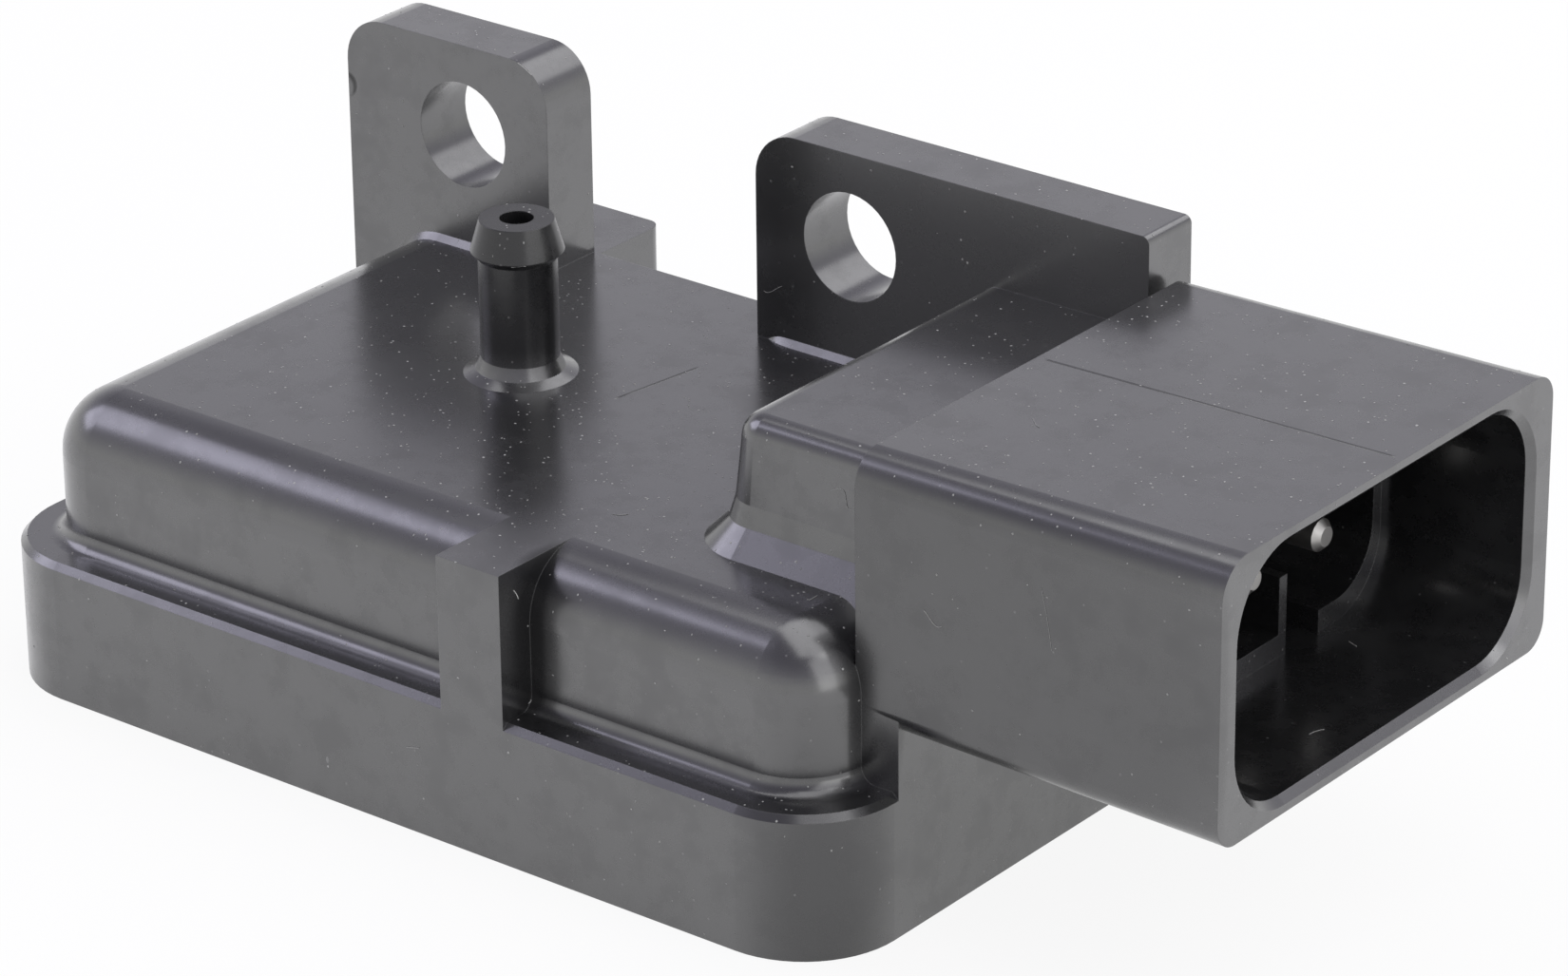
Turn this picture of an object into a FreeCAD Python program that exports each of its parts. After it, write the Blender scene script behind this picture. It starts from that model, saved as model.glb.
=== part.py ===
import FreeCAD, Part
import math
import os
import re
import Sketcher
from FreeCAD import Vector

# Manifold absolute pressure sensor: a moulded tray with a dome, a hose nipple, two bolt ears and a
# connector shroud, closed below by a plate, with a board and a pressure cell inside.
# Millimetres. Origin at the middle of the tray's bottom, +X towards the connector's mouth,
# +Y towards the ears' bolting side, +Z up.

# Driving sizes

SIZES = [
    ("tray_length", 65.4, "tray along X"),
    ("tray_width", 46.4, "tray along Y"),
    ("tray_height", 9.1, "bottom to the ledge round the dome"),
    ("tray_corner", 6.4, "upright corners of the tray"),
    ("rim_edge", 0.4, "chamfer at the outer edge of the ledge"),
    ("rim_round", 0.5, "small corners of ears, post and block"),
    ("wall", 2.0, "moulded wall"),
    ("dome_inset", 2.6, "ledge at the front, left and right"),
    ("dome_back_inset", 6.2, "ledge at the back"),
    ("dome_height", 18.5, "bottom to the dome's top"),
    ("dome_corner", 4.4, "upright corners of the dome"),
    ("dome_round", 4.0, "upper edge of the dome"),
    ("foot_round", 1.0, "fillet between ledge and dome"),
    ("ear_thickness", 4.3, "both ears along Y"),
    ("ear_height", 32.2, "bottom to the ears' top"),
    ("ear_round", 3.0, "upper corners of the ears"),
    ("ear_foot", 0.4, "sloping foot in front of the ears"),
    ("ear_overhang", 0.75, "left ear past the tray's left side"),
    ("ear_step", 0.8, "right ear short of the shroud"),
    ("ear_hole", 7.0, "bolt hole"),
    ("ear_hole_drop", 6.05, "ears' top to the bolt holes' middle"),
    ("left_ear_place", 15.8, "tray's left side to the left ear's right edge"),
    ("left_hole_place", 8.8, "tray's left side to the left hole"),
    ("hole_spacing", 30.8, "left hole to right hole"),
    ("right_ear_margin", 7.2, "right hole to the right ear's left edge"),
    ("block_width", 16.3, "back block along X"),
    ("block_corner", 1.0, "back right corner of the block"),
    ("post_place", 37.4, "tray's left side to the front post"),
    ("post_width", 4.7, "front post along X"),
    ("bridge_place", 48.2, "tray's left side to the bridge's foot"),
    ("bridge_front", 10.7, "tray's front to the bridge's foot"),
    ("bridge_step", 21.2, "bottom to the bridge's change of slope"),
    ("bridge_height", 26.3, "bottom to the bridge's top"),
    ("bridge_lower_slope", 17.0, "lean of the bridge's lower band, degrees"),
    ("bridge_upper_slope", 6.0, "lean of the bridge's upper band, degrees"),
    ("bridge_round", 1.4, "upper edge of the bridge"),
    ("bridge_foot", 1.0, "sloping foot round the bridge"),
    ("bridge_corner", 3.0, "front corners of the bridge's foot"),
    ("bridge_back_corner", 1.8, "back corners of the bridge, inside the ear"),
    ("shroud_place", 62.4, "tray's left side to the shroud"),
    ("shroud_front", 6.8, "tray's front to the shroud"),
    ("shroud_length", 24.8, "shroud along X"),
    ("shroud_width", 32.0, "shroud along Y at its root"),
    ("shroud_bottom", 12.7, "bottom to the shroud's underside"),
    ("shroud_height", 16.4, "shroud along Z at its root"),
    ("shroud_flare", 0.9, "draft of the shroud's outside, degrees"),
    ("shroud_front_round", 2.0, "upper front edge of the shroud"),
    ("shroud_round", 1.3, "other long edges of the shroud"),
    ("socket_side", 1.55, "shroud's wall beside the mouth, at its root"),
    ("socket_roof", 0.55, "shroud's wall above and below the mouth, at its root"),
    ("socket_corner", 4.5, "corners of the mouth"),
    ("socket_depth", 10.0, "mouth to the step"),
    ("lead_in", 0.45, "chamfer round the mouth"),
    ("step_side", 0.8, "step at the socket's sides"),
    ("step_height", 1.4, "step at the socket's top and bottom"),
    ("deep_depth", 9.7, "step to the socket's floor"),
    ("divider_thickness", 0.75, "walls between the pins"),
    ("divider_height", 5.0, "walls between the pins, above the mouth's lower wall"),
    ("divider_place", 4.5, "shroud's middle to the walls between the pins"),
    ("keyway_width", 4.0, "notches in the lower step"),
    ("keyway_place", 6.2, "shroud's middle to the notches"),
    ("pin_diameter", 2.0, "contact pins"),
    ("pin_pitch", 7.15, "pin to pin"),
    ("pin_height", 20.0, "bottom to the pins' middle"),
    ("pin_reach", 1.1, "pin nose past the step"),
    ("pin_nose", 0.4, "chamfer of the pins' noses"),
    ("pin_blade", 1.2, "pins inside the housing, square"),
    ("pin_elbow", 0.7, "chamfer of the pins' elbows"),
    ("pin_hole", 1.9, "board holes for the pins"),
    ("pin_room", 2.1, "outer pins to the walls of the bridge's hollow"),
    ("pin_turn", 5.4, "shroud to the pins' upright legs"),
    ("pin_tail", 0.9, "pin end below the board"),
    ("nipple_x", 24.2, "tray's left side to the nipple"),
    ("nipple_y", 23.1, "tray's front to the nipple"),
    ("nipple_stem", 4.85, "stem of the nipple"),
    ("nipple_barb", 5.75, "widest part of the barb"),
    ("nipple_tip", 4.6, "top of the barb"),
    ("nipple_bore", 2.1, "passage for the pressure"),
    ("nipple_height", 10.0, "dome to the nipple's top"),
    ("barb_height", 2.0, "barb along Z"),
    ("nipple_foot", 1.1, "flare of the nipple's foot"),
    ("flare_waist", 0.3, "share of the flare that is left at its waist"),
    ("rebate", 0.8, "seat for the closing plate"),
    ("rebate_depth", 2.4, "bottom to the plate's seat"),
    ("plate_thickness", 1.4, "closing plate"),
    ("plate_gap", 0.1, "play round the closing plate"),
    ("seal_height", 0.8, "bead of sealing compound"),
    ("seal_width", 1.6, "bead of sealing compound"),
    ("board_thickness", 1.6, "circuit board"),
    ("board_gap", 0.2, "play round the circuit board"),
    ("stake_diameter", 2.2, "staked posts through the board"),
    ("stake_boss", 5.0, "bosses above the board"),
    ("stake_head", 3.8, "heads formed below the board"),
    ("stake_head_height", 0.8, "heads formed below the board"),
    ("stake_margin", 8.0, "tray's ends to the posts"),
    ("stake_margin_y", 5.5, "dome's sides to the posts"),
    ("boss_diameter", 9.0, "seal socket below the nipple"),
    ("boss_depth", 3.9, "seal socket below the roof"),
    ("seal_socket", 6.4, "bore of the seal socket"),
    ("seal_socket_depth", 3.0, "bore of the seal socket"),
    ("ring_section", 1.6, "thickness of the sealing ring"),
    ("cell_side", 11.0, "pressure cell, square"),
    ("cell_height", 3.2, "frame of the cell"),
    ("cell_floor", 0.6, "floor of the cell's frame"),
    ("cell_wall", 2.0, "wall of the cell's frame"),
    ("cap_height", 0.9, "plate of the cell's cap"),
    ("tube_bore", 1.4, "bore of the cap's tube"),
    ("tube_end_gap", 0.3, "cap's tube to the end of the seal socket"),
    ("pedestal_side", 3.6, "glass pedestal, square"),
    ("pedestal_height", 1.4, "glass pedestal"),
    ("die_side", 3.0, "sensing die, square"),
    ("die_height", 0.5, "sensing die"),
    ("diaphragm", 0.1, "thinned middle of the die"),
    ("etch_slope", 35.3, "lean of the etched hollow in the die, degrees"),
    ("chip_length", 5.0, "small chips along X"),
    ("chip_width", 4.0, "small chips along Y"),
    ("chip_height", 1.5, "small chips"),
    ("chip_stand", 0.2, "board to the chips' underside"),
    ("lead_width", 0.45, "chip leads"),
    ("lead_thickness", 0.2, "chip leads"),
    ("lead_pitch", 1.27, "chip leads"),
    ("lead_reach", 1.1, "chip leads past the body"),
    ("capacitor_length", 3.2, "filter capacitors along X"),
    ("capacitor_width", 1.8, "filter capacitors along Y"),
    ("capacitor_height", 1.4, "filter capacitors"),
    ("resistor_length", 3.0, "resistors along Y"),
    ("resistor_width", 1.5, "resistors along X"),
    ("resistor_height", 0.6, "resistors"),
    ("resistor_pitch", 2.6, "resistor to resistor"),
    ("cell_room", 0.8, "cell to the bridge resistors, and pins to the capacitors"),
    ("chip_room", 2.8, "dome's inner wall to the chips' leads"),
    ("solder_reach", 0.9, "solder past the pins"),
]

PLACES = [
    ("left_side", "0 - tray_length / 2"),
    ("front_side", "0 - tray_width / 2"),
    ("back_plane", "tray_width / 2 - dome_back_inset"),
    ("ear_front", "back_plane - ear_thickness"),
    ("shelf", "tray_height - wall"),
    ("roof", "dome_height - wall"),
    ("dome_length", "tray_length - 2 * dome_inset"),
    ("dome_width", "tray_width - dome_inset - dome_back_inset"),
    ("dome_shift", "(dome_inset - dome_back_inset) / 2"),
    ("dome_extra", "dome_corner"),
    ("left_hole", "left_side + left_hole_place"),
    ("right_hole", "left_hole + hole_spacing"),
    ("right_ear_edge", "right_hole - right_ear_margin"),
    ("foot_reach", "ear_foot + rim_round"),
    ("shroud_root", "left_side + shroud_place"),
    ("mouth", "shroud_root + shroud_length"),
    ("step_plane", "mouth - socket_depth"),
    ("socket_width", "shroud_width - 2 * socket_side"),
    ("socket_height", "shroud_height - 2 * socket_roof"),
    ("ear_hole_height", "ear_height - ear_hole_drop"),
    ("socket_floor", "step_plane - deep_depth"),
    ("shroud_y", "front_side + shroud_front + shroud_width / 2"),
    ("shroud_z", "shroud_bottom + shroud_height / 2"),
    ("bridge_x", "left_side + bridge_place + bridge_length / 2"),
    ("bridge_y", "front_side + bridge_front + bridge_width / 2"),
    ("bridge_length", "tray_length - bridge_place"),
    ("bridge_grow", "bridge_foot + wall / 2"),
    ("bridge_width", "tray_width - dome_back_inset - ear_thickness / 2 - bridge_front"),
    ("band_shrink", "(bridge_step - dome_height) * tan(bridge_lower_slope * 1 deg)"),
    ("core_left", "left_side + bridge_place + band_shrink + wall"),
    ("core_right", "tray_length / 2 - wall"),
    ("core_front", "shroud_y - pin_pitch - pin_room"),
    ("core_back", "shroud_y + pin_pitch + pin_room"),
    ("pin_leg", "shroud_root - pin_turn"),
    ("board_under", "shelf - board_thickness"),
    ("nipple_middle_x", "left_side + nipple_x"),
    ("nipple_middle_y", "front_side + nipple_y"),
    ("boss_end", "roof - boss_depth"),
    ("seal_socket_end", "boss_end + seal_socket_depth"),
    ("tube_diameter", "seal_socket - 2 * ring_section"),
    ("cell_top", "shelf + cell_height"),
    ("plate_under", "rebate_depth - plate_thickness"),
]

PIN_SIDES = {"terminal_supply": 1, "terminal_signal": 0, "terminal_ground": -1}
TRIM_COUNT = 5
BRIDGE_COUNT = 4
LEADS_A_SIDE = 4
LEAD_KNEE = 0.45
NEAR = 0.02

document = FreeCAD.newDocument("PressureSensor")
sheet = document.addObject("Spreadsheet::Sheet", "Sizes")
for row, (alias, value, note) in enumerate(SIZES, start=1):
    sheet.set("A%d" % row, note)
    sheet.set("B%d" % row, str(value))
    sheet.setAlias("B%d" % row, alias)
for row, (alias, words) in enumerate(PLACES, start=1):
    sheet.setAlias("D%d" % row, alias)
for row, (alias, words) in enumerate(PLACES, start=1):
    sheet.set("D%d" % row, "=" + words)
document.recompute()
ALIASES = {entry[0] for entry in SIZES + PLACES}

# Formulas


def bound(words):
    """The words with every alias bound to the sheet."""
    return re.sub(r"[a-z_]+", lambda found: "Sizes." + found.group(0)
                  if found.group(0) in ALIASES else found.group(0), words)


def worth(words):
    """The words worked out as a number."""
    return float(sheet.evalExpression(bound(words)))


# Sketches


def new_body(name):
    """A body whose label names its file."""
    body = document.addObject("PartDesign::Body", name)
    body.Label = name
    return body


def new_sketch(body, name, plane, x, y, away):
    """A sketch on one of the body's own planes, moved in the plane and away from it."""
    sketch = body.newObject("Sketcher::SketchObject", name)
    for feature in body.Origin.OriginFeatures:
        if feature.Role == plane:
            sketch.AttachmentSupport = [(feature, "")]
    sketch.MapMode = "FlatFace"
    sketch.setExpression("AttachmentOffset.Base.x", bound(x))
    sketch.setExpression("AttachmentOffset.Base.y", bound(y))
    sketch.setExpression("AttachmentOffset.Base.z", bound(away))
    return sketch


def bind(sketch, kind, places, words):
    """One dimension between the given places that takes its value from the sheet."""
    index = sketch.addConstraint(Sketcher.Constraint(kind, *places, worth(words)))
    name = "size%d" % index
    sketch.renameConstraint(index, name)
    sketch.setExpression("Constraints." + name, bound(words))


def square_up(sketch, length, width):
    """Holds lines 0 to 3, bottom, right, top and left, level or upright round the root."""
    for i in (0, 2):
        sketch.addConstraint(Sketcher.Constraint("Horizontal", i))
        sketch.addConstraint(Sketcher.Constraint("Vertical", i + 1))
    bind(sketch, "DistanceX", (-1, 1, 1, 1), "(%s) / 2" % length)
    bind(sketch, "DistanceX", (3, 1, -1, 1), "(%s) / 2" % length)
    bind(sketch, "DistanceY", (-1, 1, 2, 1), "(%s) / 2" % width)
    bind(sketch, "DistanceY", (0, 1, -1, 1), "(%s) / 2" % width)


def rectangle(sketch, length, width):
    """A rectangle round the sketch's root."""
    x = worth(length) / 2
    y = worth(width) / 2
    corners = [Vector(-x, -y, 0), Vector(x, -y, 0), Vector(x, y, 0), Vector(-x, y, 0)]
    for i in range(4):
        sketch.addGeometry(Part.LineSegment(corners[i], corners[(i + 1) % 4]), False)
    for i in range(4):
        sketch.addConstraint(Sketcher.Constraint("Coincident", i, 2, (i + 1) % 4, 1))
    square_up(sketch, length, width)


def rounded_rectangle(sketch, length, width, radii):
    """A rectangle round the root; radii from the lower right corner on, against the clock."""
    x = worth(length) / 2
    y = worth(width) / 2
    corners = [(x, -y), (x, y), (-x, y), (-x, -y)]
    inward = [(-1, 1), (-1, -1), (1, -1), (1, 1)]
    arcs = []
    for i, ((cx, cy), (ix, iy)) in enumerate(zip(corners, inward)):
        radius = worth(radii[i])
        centre = Vector(cx + ix * radius, cy + iy * radius, 0)
        start = math.radians(90 * i - 90)
        ring = Part.Circle(centre, Vector(0, 0, 1), radius)
        arcs.append(Part.ArcOfCircle(ring, start, start + math.pi / 2))
    for i in range(4):
        sketch.addGeometry(Part.LineSegment(arcs[i - 1].EndPoint, arcs[i].StartPoint), False)
    for arc in arcs:
        sketch.addGeometry(arc, False)
    for i in range(4):
        sketch.addConstraint(Sketcher.Constraint("Tangent", i, 2, 4 + i, 1))
        sketch.addConstraint(Sketcher.Constraint("Tangent", 4 + i, 2, (i + 1) % 4, 1))
    for i in range(4):
        bind(sketch, "Radius", (4 + i,), radii[i])
    square_up(sketch, length, width)


def disc(sketch, diameter):
    """A circle on the root."""
    sketch.addGeometry(Part.Circle(Vector(0, 0, 0), Vector(0, 0, 1), worth(diameter) / 2), False)
    sketch.addConstraint(Sketcher.Constraint("Coincident", 0, 3, -1, 1))
    bind(sketch, "Diameter", (0,), diameter)


# Features


def extrude(body, kind, name, sketch, length, flip=False, taper=None):
    """A pad or a pocket of a sketch."""
    feature = body.newObject("PartDesign::" + kind, name)
    feature.Profile = sketch
    feature.setExpression("Length", bound(length))
    feature.Reversed = flip
    if taper:
        feature.setExpression("TaperAngle", bound(taper))
    sketch.Visibility = False
    document.recompute()
    return feature


def soften(body, name, radius, base, test, kind="Fillet"):
    """Rounds or chamfers those edges of the base for which the test holds."""
    names = ["Edge%d" % i for i, edge in enumerate(base.Shape.Edges, start=1) if test(edge)]
    feature = body.newObject("PartDesign::" + kind, name)
    feature.Base = (base, names)
    feature.setExpression("Radius" if kind == "Fillet" else "Size", bound(radius))
    document.recompute()
    return feature


def near(a, b):
    """True for two lengths that are the same."""
    return abs(a - b) < NEAR


def flat(edge, axis, place):
    """True for an edge that lies wholly at one place along an axis."""
    box = edge.BoundBox
    return near(getattr(box, axis + "Min"), place) and near(getattr(box, axis + "Max"), place)


def middle(edge):
    """The point half way along an edge."""
    return edge.valueAt((edge.FirstParameter + edge.LastParameter) / 2)


# Housing: tray and dome

housing = new_body("housing")

outline = new_sketch(housing, "TrayOutline", "XY_Plane", "0", "0", "0")
rounded_rectangle(outline, "tray_length", "tray_width", ["tray_corner"] * 4)
tray = extrude(housing, "Pad", "Tray", outline, "tray_height")
soften(housing, "Rim", "rim_edge", tray, lambda edge: flat(edge, "Z", worth("tray_height")),
       kind="Chamfer")

outline = new_sketch(housing, "DomeOutline", "XY_Plane", "0", "dome_shift + dome_extra / 2", "shelf")
rounded_rectangle(outline, "dome_length", "dome_width + dome_extra", ["dome_corner"] * 4)
dome = extrude(housing, "Pad", "Dome", outline, "dome_height - shelf")


def at_foot(edge):
    """True for an edge where the dome meets the ledge."""
    box = edge.BoundBox
    return (flat(edge, "Z", worth("tray_height")) and box.XMin > worth("left_side + dome_inset") - NEAR
            and box.XMax < worth("dome_length / 2") + NEAR
            and box.YMin > worth("front_side + dome_inset") - NEAR
            and box.YMax < worth("back_plane + dome_extra") + NEAR)


dome_edge = soften(housing, "DomeEdge", "dome_round", dome,
                   lambda edge: flat(edge, "Z", worth("dome_height")))
soften(housing, "DomeFoot", "foot_round", dome_edge, at_foot)
outline = new_sketch(housing, "DomeBackOutline", "XY_Plane", "0", "back_plane + dome_back_inset / 2",
                     "tray_height")
rectangle(outline, "tray_length + wall", "dome_back_inset")
extrude(housing, "Pocket", "DomeBack", outline, "dome_height", flip=True)

# Housing: front post and back block, flush with the tray's walls

outline = new_sketch(housing, "PostOutline", "XY_Plane", "left_side + post_place + post_width / 2",
                     "front_side + dome_inset + dome_round / 2", "shelf")
rectangle(outline, "post_width", "2 * dome_inset + dome_round")
extrude(housing, "Pad", "Post", outline, "dome_height - shelf")

outline = new_sketch(housing, "BlockOutline", "XY_Plane", "left_side + block_width / 2",
                     "back_plane + dome_back_inset / 2 - wall / 2", "shelf")
rounded_rectangle(outline, "block_width", "dome_back_inset + wall",
                  ["rim_round", "block_corner", "tray_corner", "rim_round"])
extrude(housing, "Pad", "Block", outline, "dome_height - shelf")

# Housing: bolt ears, which rise from the tray through the dome's back, and their sloping feet


def ear(name, left, right, radii):
    """A plate along the back plane between two places on X."""
    sketch = new_sketch(housing, name + "Outline", "XZ_Plane", "(%s + %s) / 2" % (left, right),
                        "(ear_height + shelf) / 2", "0 - back_plane")
    rounded_rectangle(sketch, "%s - (%s)" % (right, left), "ear_height - shelf", radii)
    extrude(housing, "Pad", name, sketch, "ear_thickness")


def ear_foot(name, left, right, radii):
    """A slope of the dome's own section in front of an ear, sunk in the ear and in the dome."""
    sketch = new_sketch(housing, name + "Outline", "XZ_Plane", "(%s + %s) / 2" % (left, right),
                        "(dome_height + foot_reach + shelf + rim_round) / 2", "0 - ear_front - rim_round")
    rounded_rectangle(sketch, "%s - (%s)" % (right, left),
                      "dome_height + foot_reach - shelf - rim_round", radii)
    extrude(housing, "Pad", name, sketch, "foot_reach + rim_round", taper="-45")


ear("LeftEar", "left_side - ear_overhang", "left_side + left_ear_place",
    ["rim_round", "ear_round", "ear_round", "rim_round"])
ear("RightEar", "right_ear_edge", "shroud_root - ear_step",
    ["rim_round", "rim_round", "ear_round", "rim_round"])
ear_foot("LeftEarFoot", "left_side + dome_inset - foot_reach",
         "left_side + left_ear_place - ear_foot / 2",
         ["foot_round", "foot_round", "dome_round + foot_reach", "foot_round"])
ear_foot("RightEarFoot", "right_ear_edge + ear_foot / 2", "bridge_x",
         ["foot_round", "foot_round", "foot_round", "foot_round"])

outline = new_sketch(housing, "EarRootOutline", "XZ_Plane", "(right_hole + shroud_root) / 2",
                     "(bridge_height - rim_round + shelf) / 2", "0 - back_plane")
rectangle(outline, "shroud_root - right_hole", "bridge_height - rim_round - shelf")
extrude(housing, "Pad", "EarRoot", outline, "ear_thickness")

# Housing: connector shroud, and the web that carries it on the tray's wall

outline = new_sketch(housing, "ShroudOutline", "YZ_Plane", "shroud_y", "shroud_z", "shroud_root")
rounded_rectangle(outline, "shroud_width", "shroud_height",
                  ["shroud_round", "shroud_round", "shroud_front_round", "shroud_round"])
extrude(housing, "Pad", "Shroud", outline, "shroud_length", taper="shroud_flare")

outline = new_sketch(housing, "WebOutline", "YZ_Plane", "shroud_y",
                     "(shroud_bottom + shroud_round + shelf) / 2", "shroud_root")
rectangle(outline, "shroud_width", "shroud_bottom + shroud_round - shelf")
extrude(housing, "Pad", "Web", outline, "tray_length - shroud_place")

# Housing: bridge between dome and shroud, a sloping foot and two bands of different slope

outline = new_sketch(housing, "BridgeFootOutline", "XY_Plane", "bridge_x - bridge_grow / 2",
                     "bridge_y - bridge_grow / 2", "dome_height - wall / 2")
rounded_rectangle(outline, "bridge_length + bridge_grow", "bridge_width + bridge_grow",
                  ["bridge_corner + bridge_grow"] * 4)
extrude(housing, "Pad", "BridgeFoot", outline, "wall / 2 + 1.5 * bridge_foot + rim_round", taper="-45")

BRIDGE_CORNERS = ["bridge_corner", "bridge_back_corner", "bridge_back_corner", "bridge_corner"]


def bridge_band(name, low, high, shrink, slope):
    """One band of the bridge, whose foot lies inside the bridge's foot by shrink."""
    sketch = new_sketch(housing, name + "Outline", "XY_Plane", "bridge_x", "bridge_y", low)
    rounded_rectangle(sketch, "bridge_length - 2 * (%s)" % shrink, "bridge_width - 2 * (%s)" % shrink,
                      ["%s - (%s)" % (radius, shrink) for radius in BRIDGE_CORNERS])
    return extrude(housing, "Pad", name, sketch, "%s - (%s)" % (high, low), taper="0 - " + slope)


bridge_band("BridgeLower", "dome_height - wall / 2", "bridge_step",
            "0 - band_shrink * wall / 2 / (bridge_step - dome_height)", "bridge_lower_slope")
upper_band = bridge_band("BridgeUpper", "bridge_step", "bridge_height", "band_shrink",
                         "bridge_upper_slope")


def on_bridge_top(edge):
    """True for the free upper edges of the bridge."""
    point = middle(edge)
    return (flat(edge, "Z", worth("bridge_height")) and point.y < worth("ear_front") - NEAR
            and point.x < worth("shroud_root") - NEAR)


soften(housing, "BridgeEdge", "bridge_round", upper_band, on_bridge_top)

# Housing: hollow of the tray, the dome and the bridge

outline = new_sketch(housing, "RebateOutline", "XY_Plane", "0", "0", "0")
rounded_rectangle(outline, "tray_length - 2 * (wall - rebate)", "tray_width - 2 * (wall - rebate)",
                  ["tray_corner - wall + rebate"] * 4)
extrude(housing, "Pocket", "Rebate", outline, "rebate_depth", flip=True)

outline = new_sketch(housing, "TrayHollowOutline", "XY_Plane", "0", "0", "0")
rounded_rectangle(outline, "tray_length - 2 * wall", "tray_width - 2 * wall", ["tray_corner - wall"] * 4)
extrude(housing, "Pocket", "TrayHollow", outline, "shelf", flip=True)

outline = new_sketch(housing, "DomeHollowOutline", "XY_Plane", "0", "dome_shift", "0")
rounded_rectangle(outline, "dome_length - 2 * wall", "dome_width - 2 * wall", ["dome_corner - wall"] * 4)
extrude(housing, "Pocket", "DomeHollow", outline, "roof", flip=True)

outline = new_sketch(housing, "BridgeHollowOutline", "XY_Plane", "(core_left + core_right) / 2",
                     "(core_front + core_back) / 2", "shelf")
rounded_rectangle(outline, "core_right - core_left", "core_back - core_front", ["bridge_round"] * 4)
extrude(housing, "Pocket", "BridgeHollow", outline, "bridge_height - wall - shelf", flip=True)

# Housing: nipple, turned about its own axis, and the seal socket below it

outline = new_sketch(housing, "NippleProfile", "XZ_Plane", "nipple_middle_x", "dome_height",
                     "0 - nipple_middle_y")
profile = [
    ("0", "0 - wall / 2"),
    ("nipple_stem / 2 + nipple_foot", "0 - wall / 2"),
    ("nipple_stem / 2 + nipple_foot", "0"),
    ("nipple_stem / 2 + nipple_foot * flare_waist", "nipple_foot * flare_waist"),
    ("nipple_stem / 2", "nipple_foot"),
    ("nipple_stem / 2", "nipple_height - barb_height - (nipple_barb - nipple_stem) / 2"),
    ("nipple_barb / 2", "nipple_height - barb_height"),
    ("nipple_tip / 2", "nipple_height"),
    ("0", "nipple_height"),
]
points = [Vector(worth(x), worth(y), 0) for x, y in profile]
for i, point in enumerate(points):
    outline.addGeometry(Part.LineSegment(point, points[(i + 1) % len(points)]), False)
for i in range(len(points)):
    outline.addConstraint(Sketcher.Constraint("Coincident", i, 2, (i + 1) % len(points), 1))
for i, (x, y) in enumerate(profile):
    if x == "0":
        outline.addConstraint(Sketcher.Constraint("PointOnObject", i, 1, -2))
    else:
        bind(outline, "DistanceX", (-1, 1, i, 1), x)
    if y.startswith("0 -"):
        bind(outline, "DistanceY", (i, 1, -1, 1), y.replace("0 -", ""))
    elif y == "0":
        outline.addConstraint(Sketcher.Constraint("PointOnObject", i, 1, -1))
    else:
        bind(outline, "DistanceY", (-1, 1, i, 1), y)
nipple = housing.newObject("PartDesign::Revolution", "Nipple")
nipple.Profile = outline
nipple.ReferenceAxis = (outline, ["V_Axis"])
nipple.Angle = 360
document.recompute()

outline = new_sketch(housing, "SealBossOutline", "XY_Plane", "nipple_middle_x", "nipple_middle_y",
                     "boss_end")
disc(outline, "boss_diameter")
extrude(housing, "Pad", "SealBoss", outline, "boss_depth + wall / 2")

outline = new_sketch(housing, "SealSocketOutline", "XY_Plane", "nipple_middle_x", "nipple_middle_y",
                     "boss_end")
disc(outline, "seal_socket")
extrude(housing, "Pocket", "SealSocket", outline, "seal_socket_depth", flip=True)

outline = new_sketch(housing, "PassageOutline", "XY_Plane", "nipple_middle_x", "nipple_middle_y",
                     "boss_end")
disc(outline, "nipple_bore")
extrude(housing, "Pocket", "Passage", outline, "dome_height + nipple_height - boss_end + wall", flip=True)

# Housing: bosses with staked posts that hold the board

stake_places = []
for side in (-1, 1):
    x = "%d * (tray_length / 2 - stake_margin)" % side
    y = "dome_shift - %d * (dome_width / 2 - stake_margin_y)" % side
    stake_places.append((x, y))
STAKE_PARTS = [
    ("Boss", "stake_boss", "shelf", "roof - shelf + wall / 2"),
    ("Stake", "stake_diameter", "board_under - stake_head_height / 2",
     "board_thickness + stake_head_height / 2 + wall"),
    ("Head", "stake_head", "board_under - stake_head_height", "stake_head_height"),
]
for number, (x, y) in enumerate(stake_places, start=1):
    for name, diameter, low, length in STAKE_PARTS:
        outline = new_sketch(housing, "%s%dOutline" % (name, number), "XY_Plane", x, y, low)
        disc(outline, diameter)
        extrude(housing, "Pad", "%s%d" % (name, number), outline, length)

# Housing: socket in the shroud, with its step, notches, walls between the pins and pin holes

outline = new_sketch(housing, "SocketOutline", "YZ_Plane", "shroud_y", "shroud_z", "mouth")
rounded_rectangle(outline, "socket_width", "socket_height", ["socket_corner"] * 4)
extrude(housing, "Pocket", "Socket", outline, "socket_depth")

outline = new_sketch(housing, "LeadInOutline", "YZ_Plane", "shroud_y", "shroud_z", "mouth")
rounded_rectangle(outline, "socket_width + 2 * lead_in", "socket_height + 2 * lead_in",
                  ["socket_corner + lead_in"] * 4)
extrude(housing, "Pocket", "LeadIn", outline, "lead_in", taper="-45")

outline = new_sketch(housing, "DeepOutline", "YZ_Plane", "shroud_y", "shroud_z", "step_plane")
rounded_rectangle(outline, "socket_width - 2 * step_side", "socket_height - 2 * step_height",
                  ["socket_corner - step_side"] * 4)
extrude(housing, "Pocket", "Deep", outline, "deep_depth")

for name, side in (("Front", -1), ("Back", 1)):
    outline = new_sketch(housing, name + "NotchOutline", "YZ_Plane",
                         "shroud_y + %d * keyway_place" % side,
                         "shroud_z - socket_height / 2 + step_height", "step_plane")
    rectangle(outline, "keyway_width", "2 * step_height")
    extrude(housing, "Pocket", name + "Notch", outline, "deep_depth")

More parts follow.
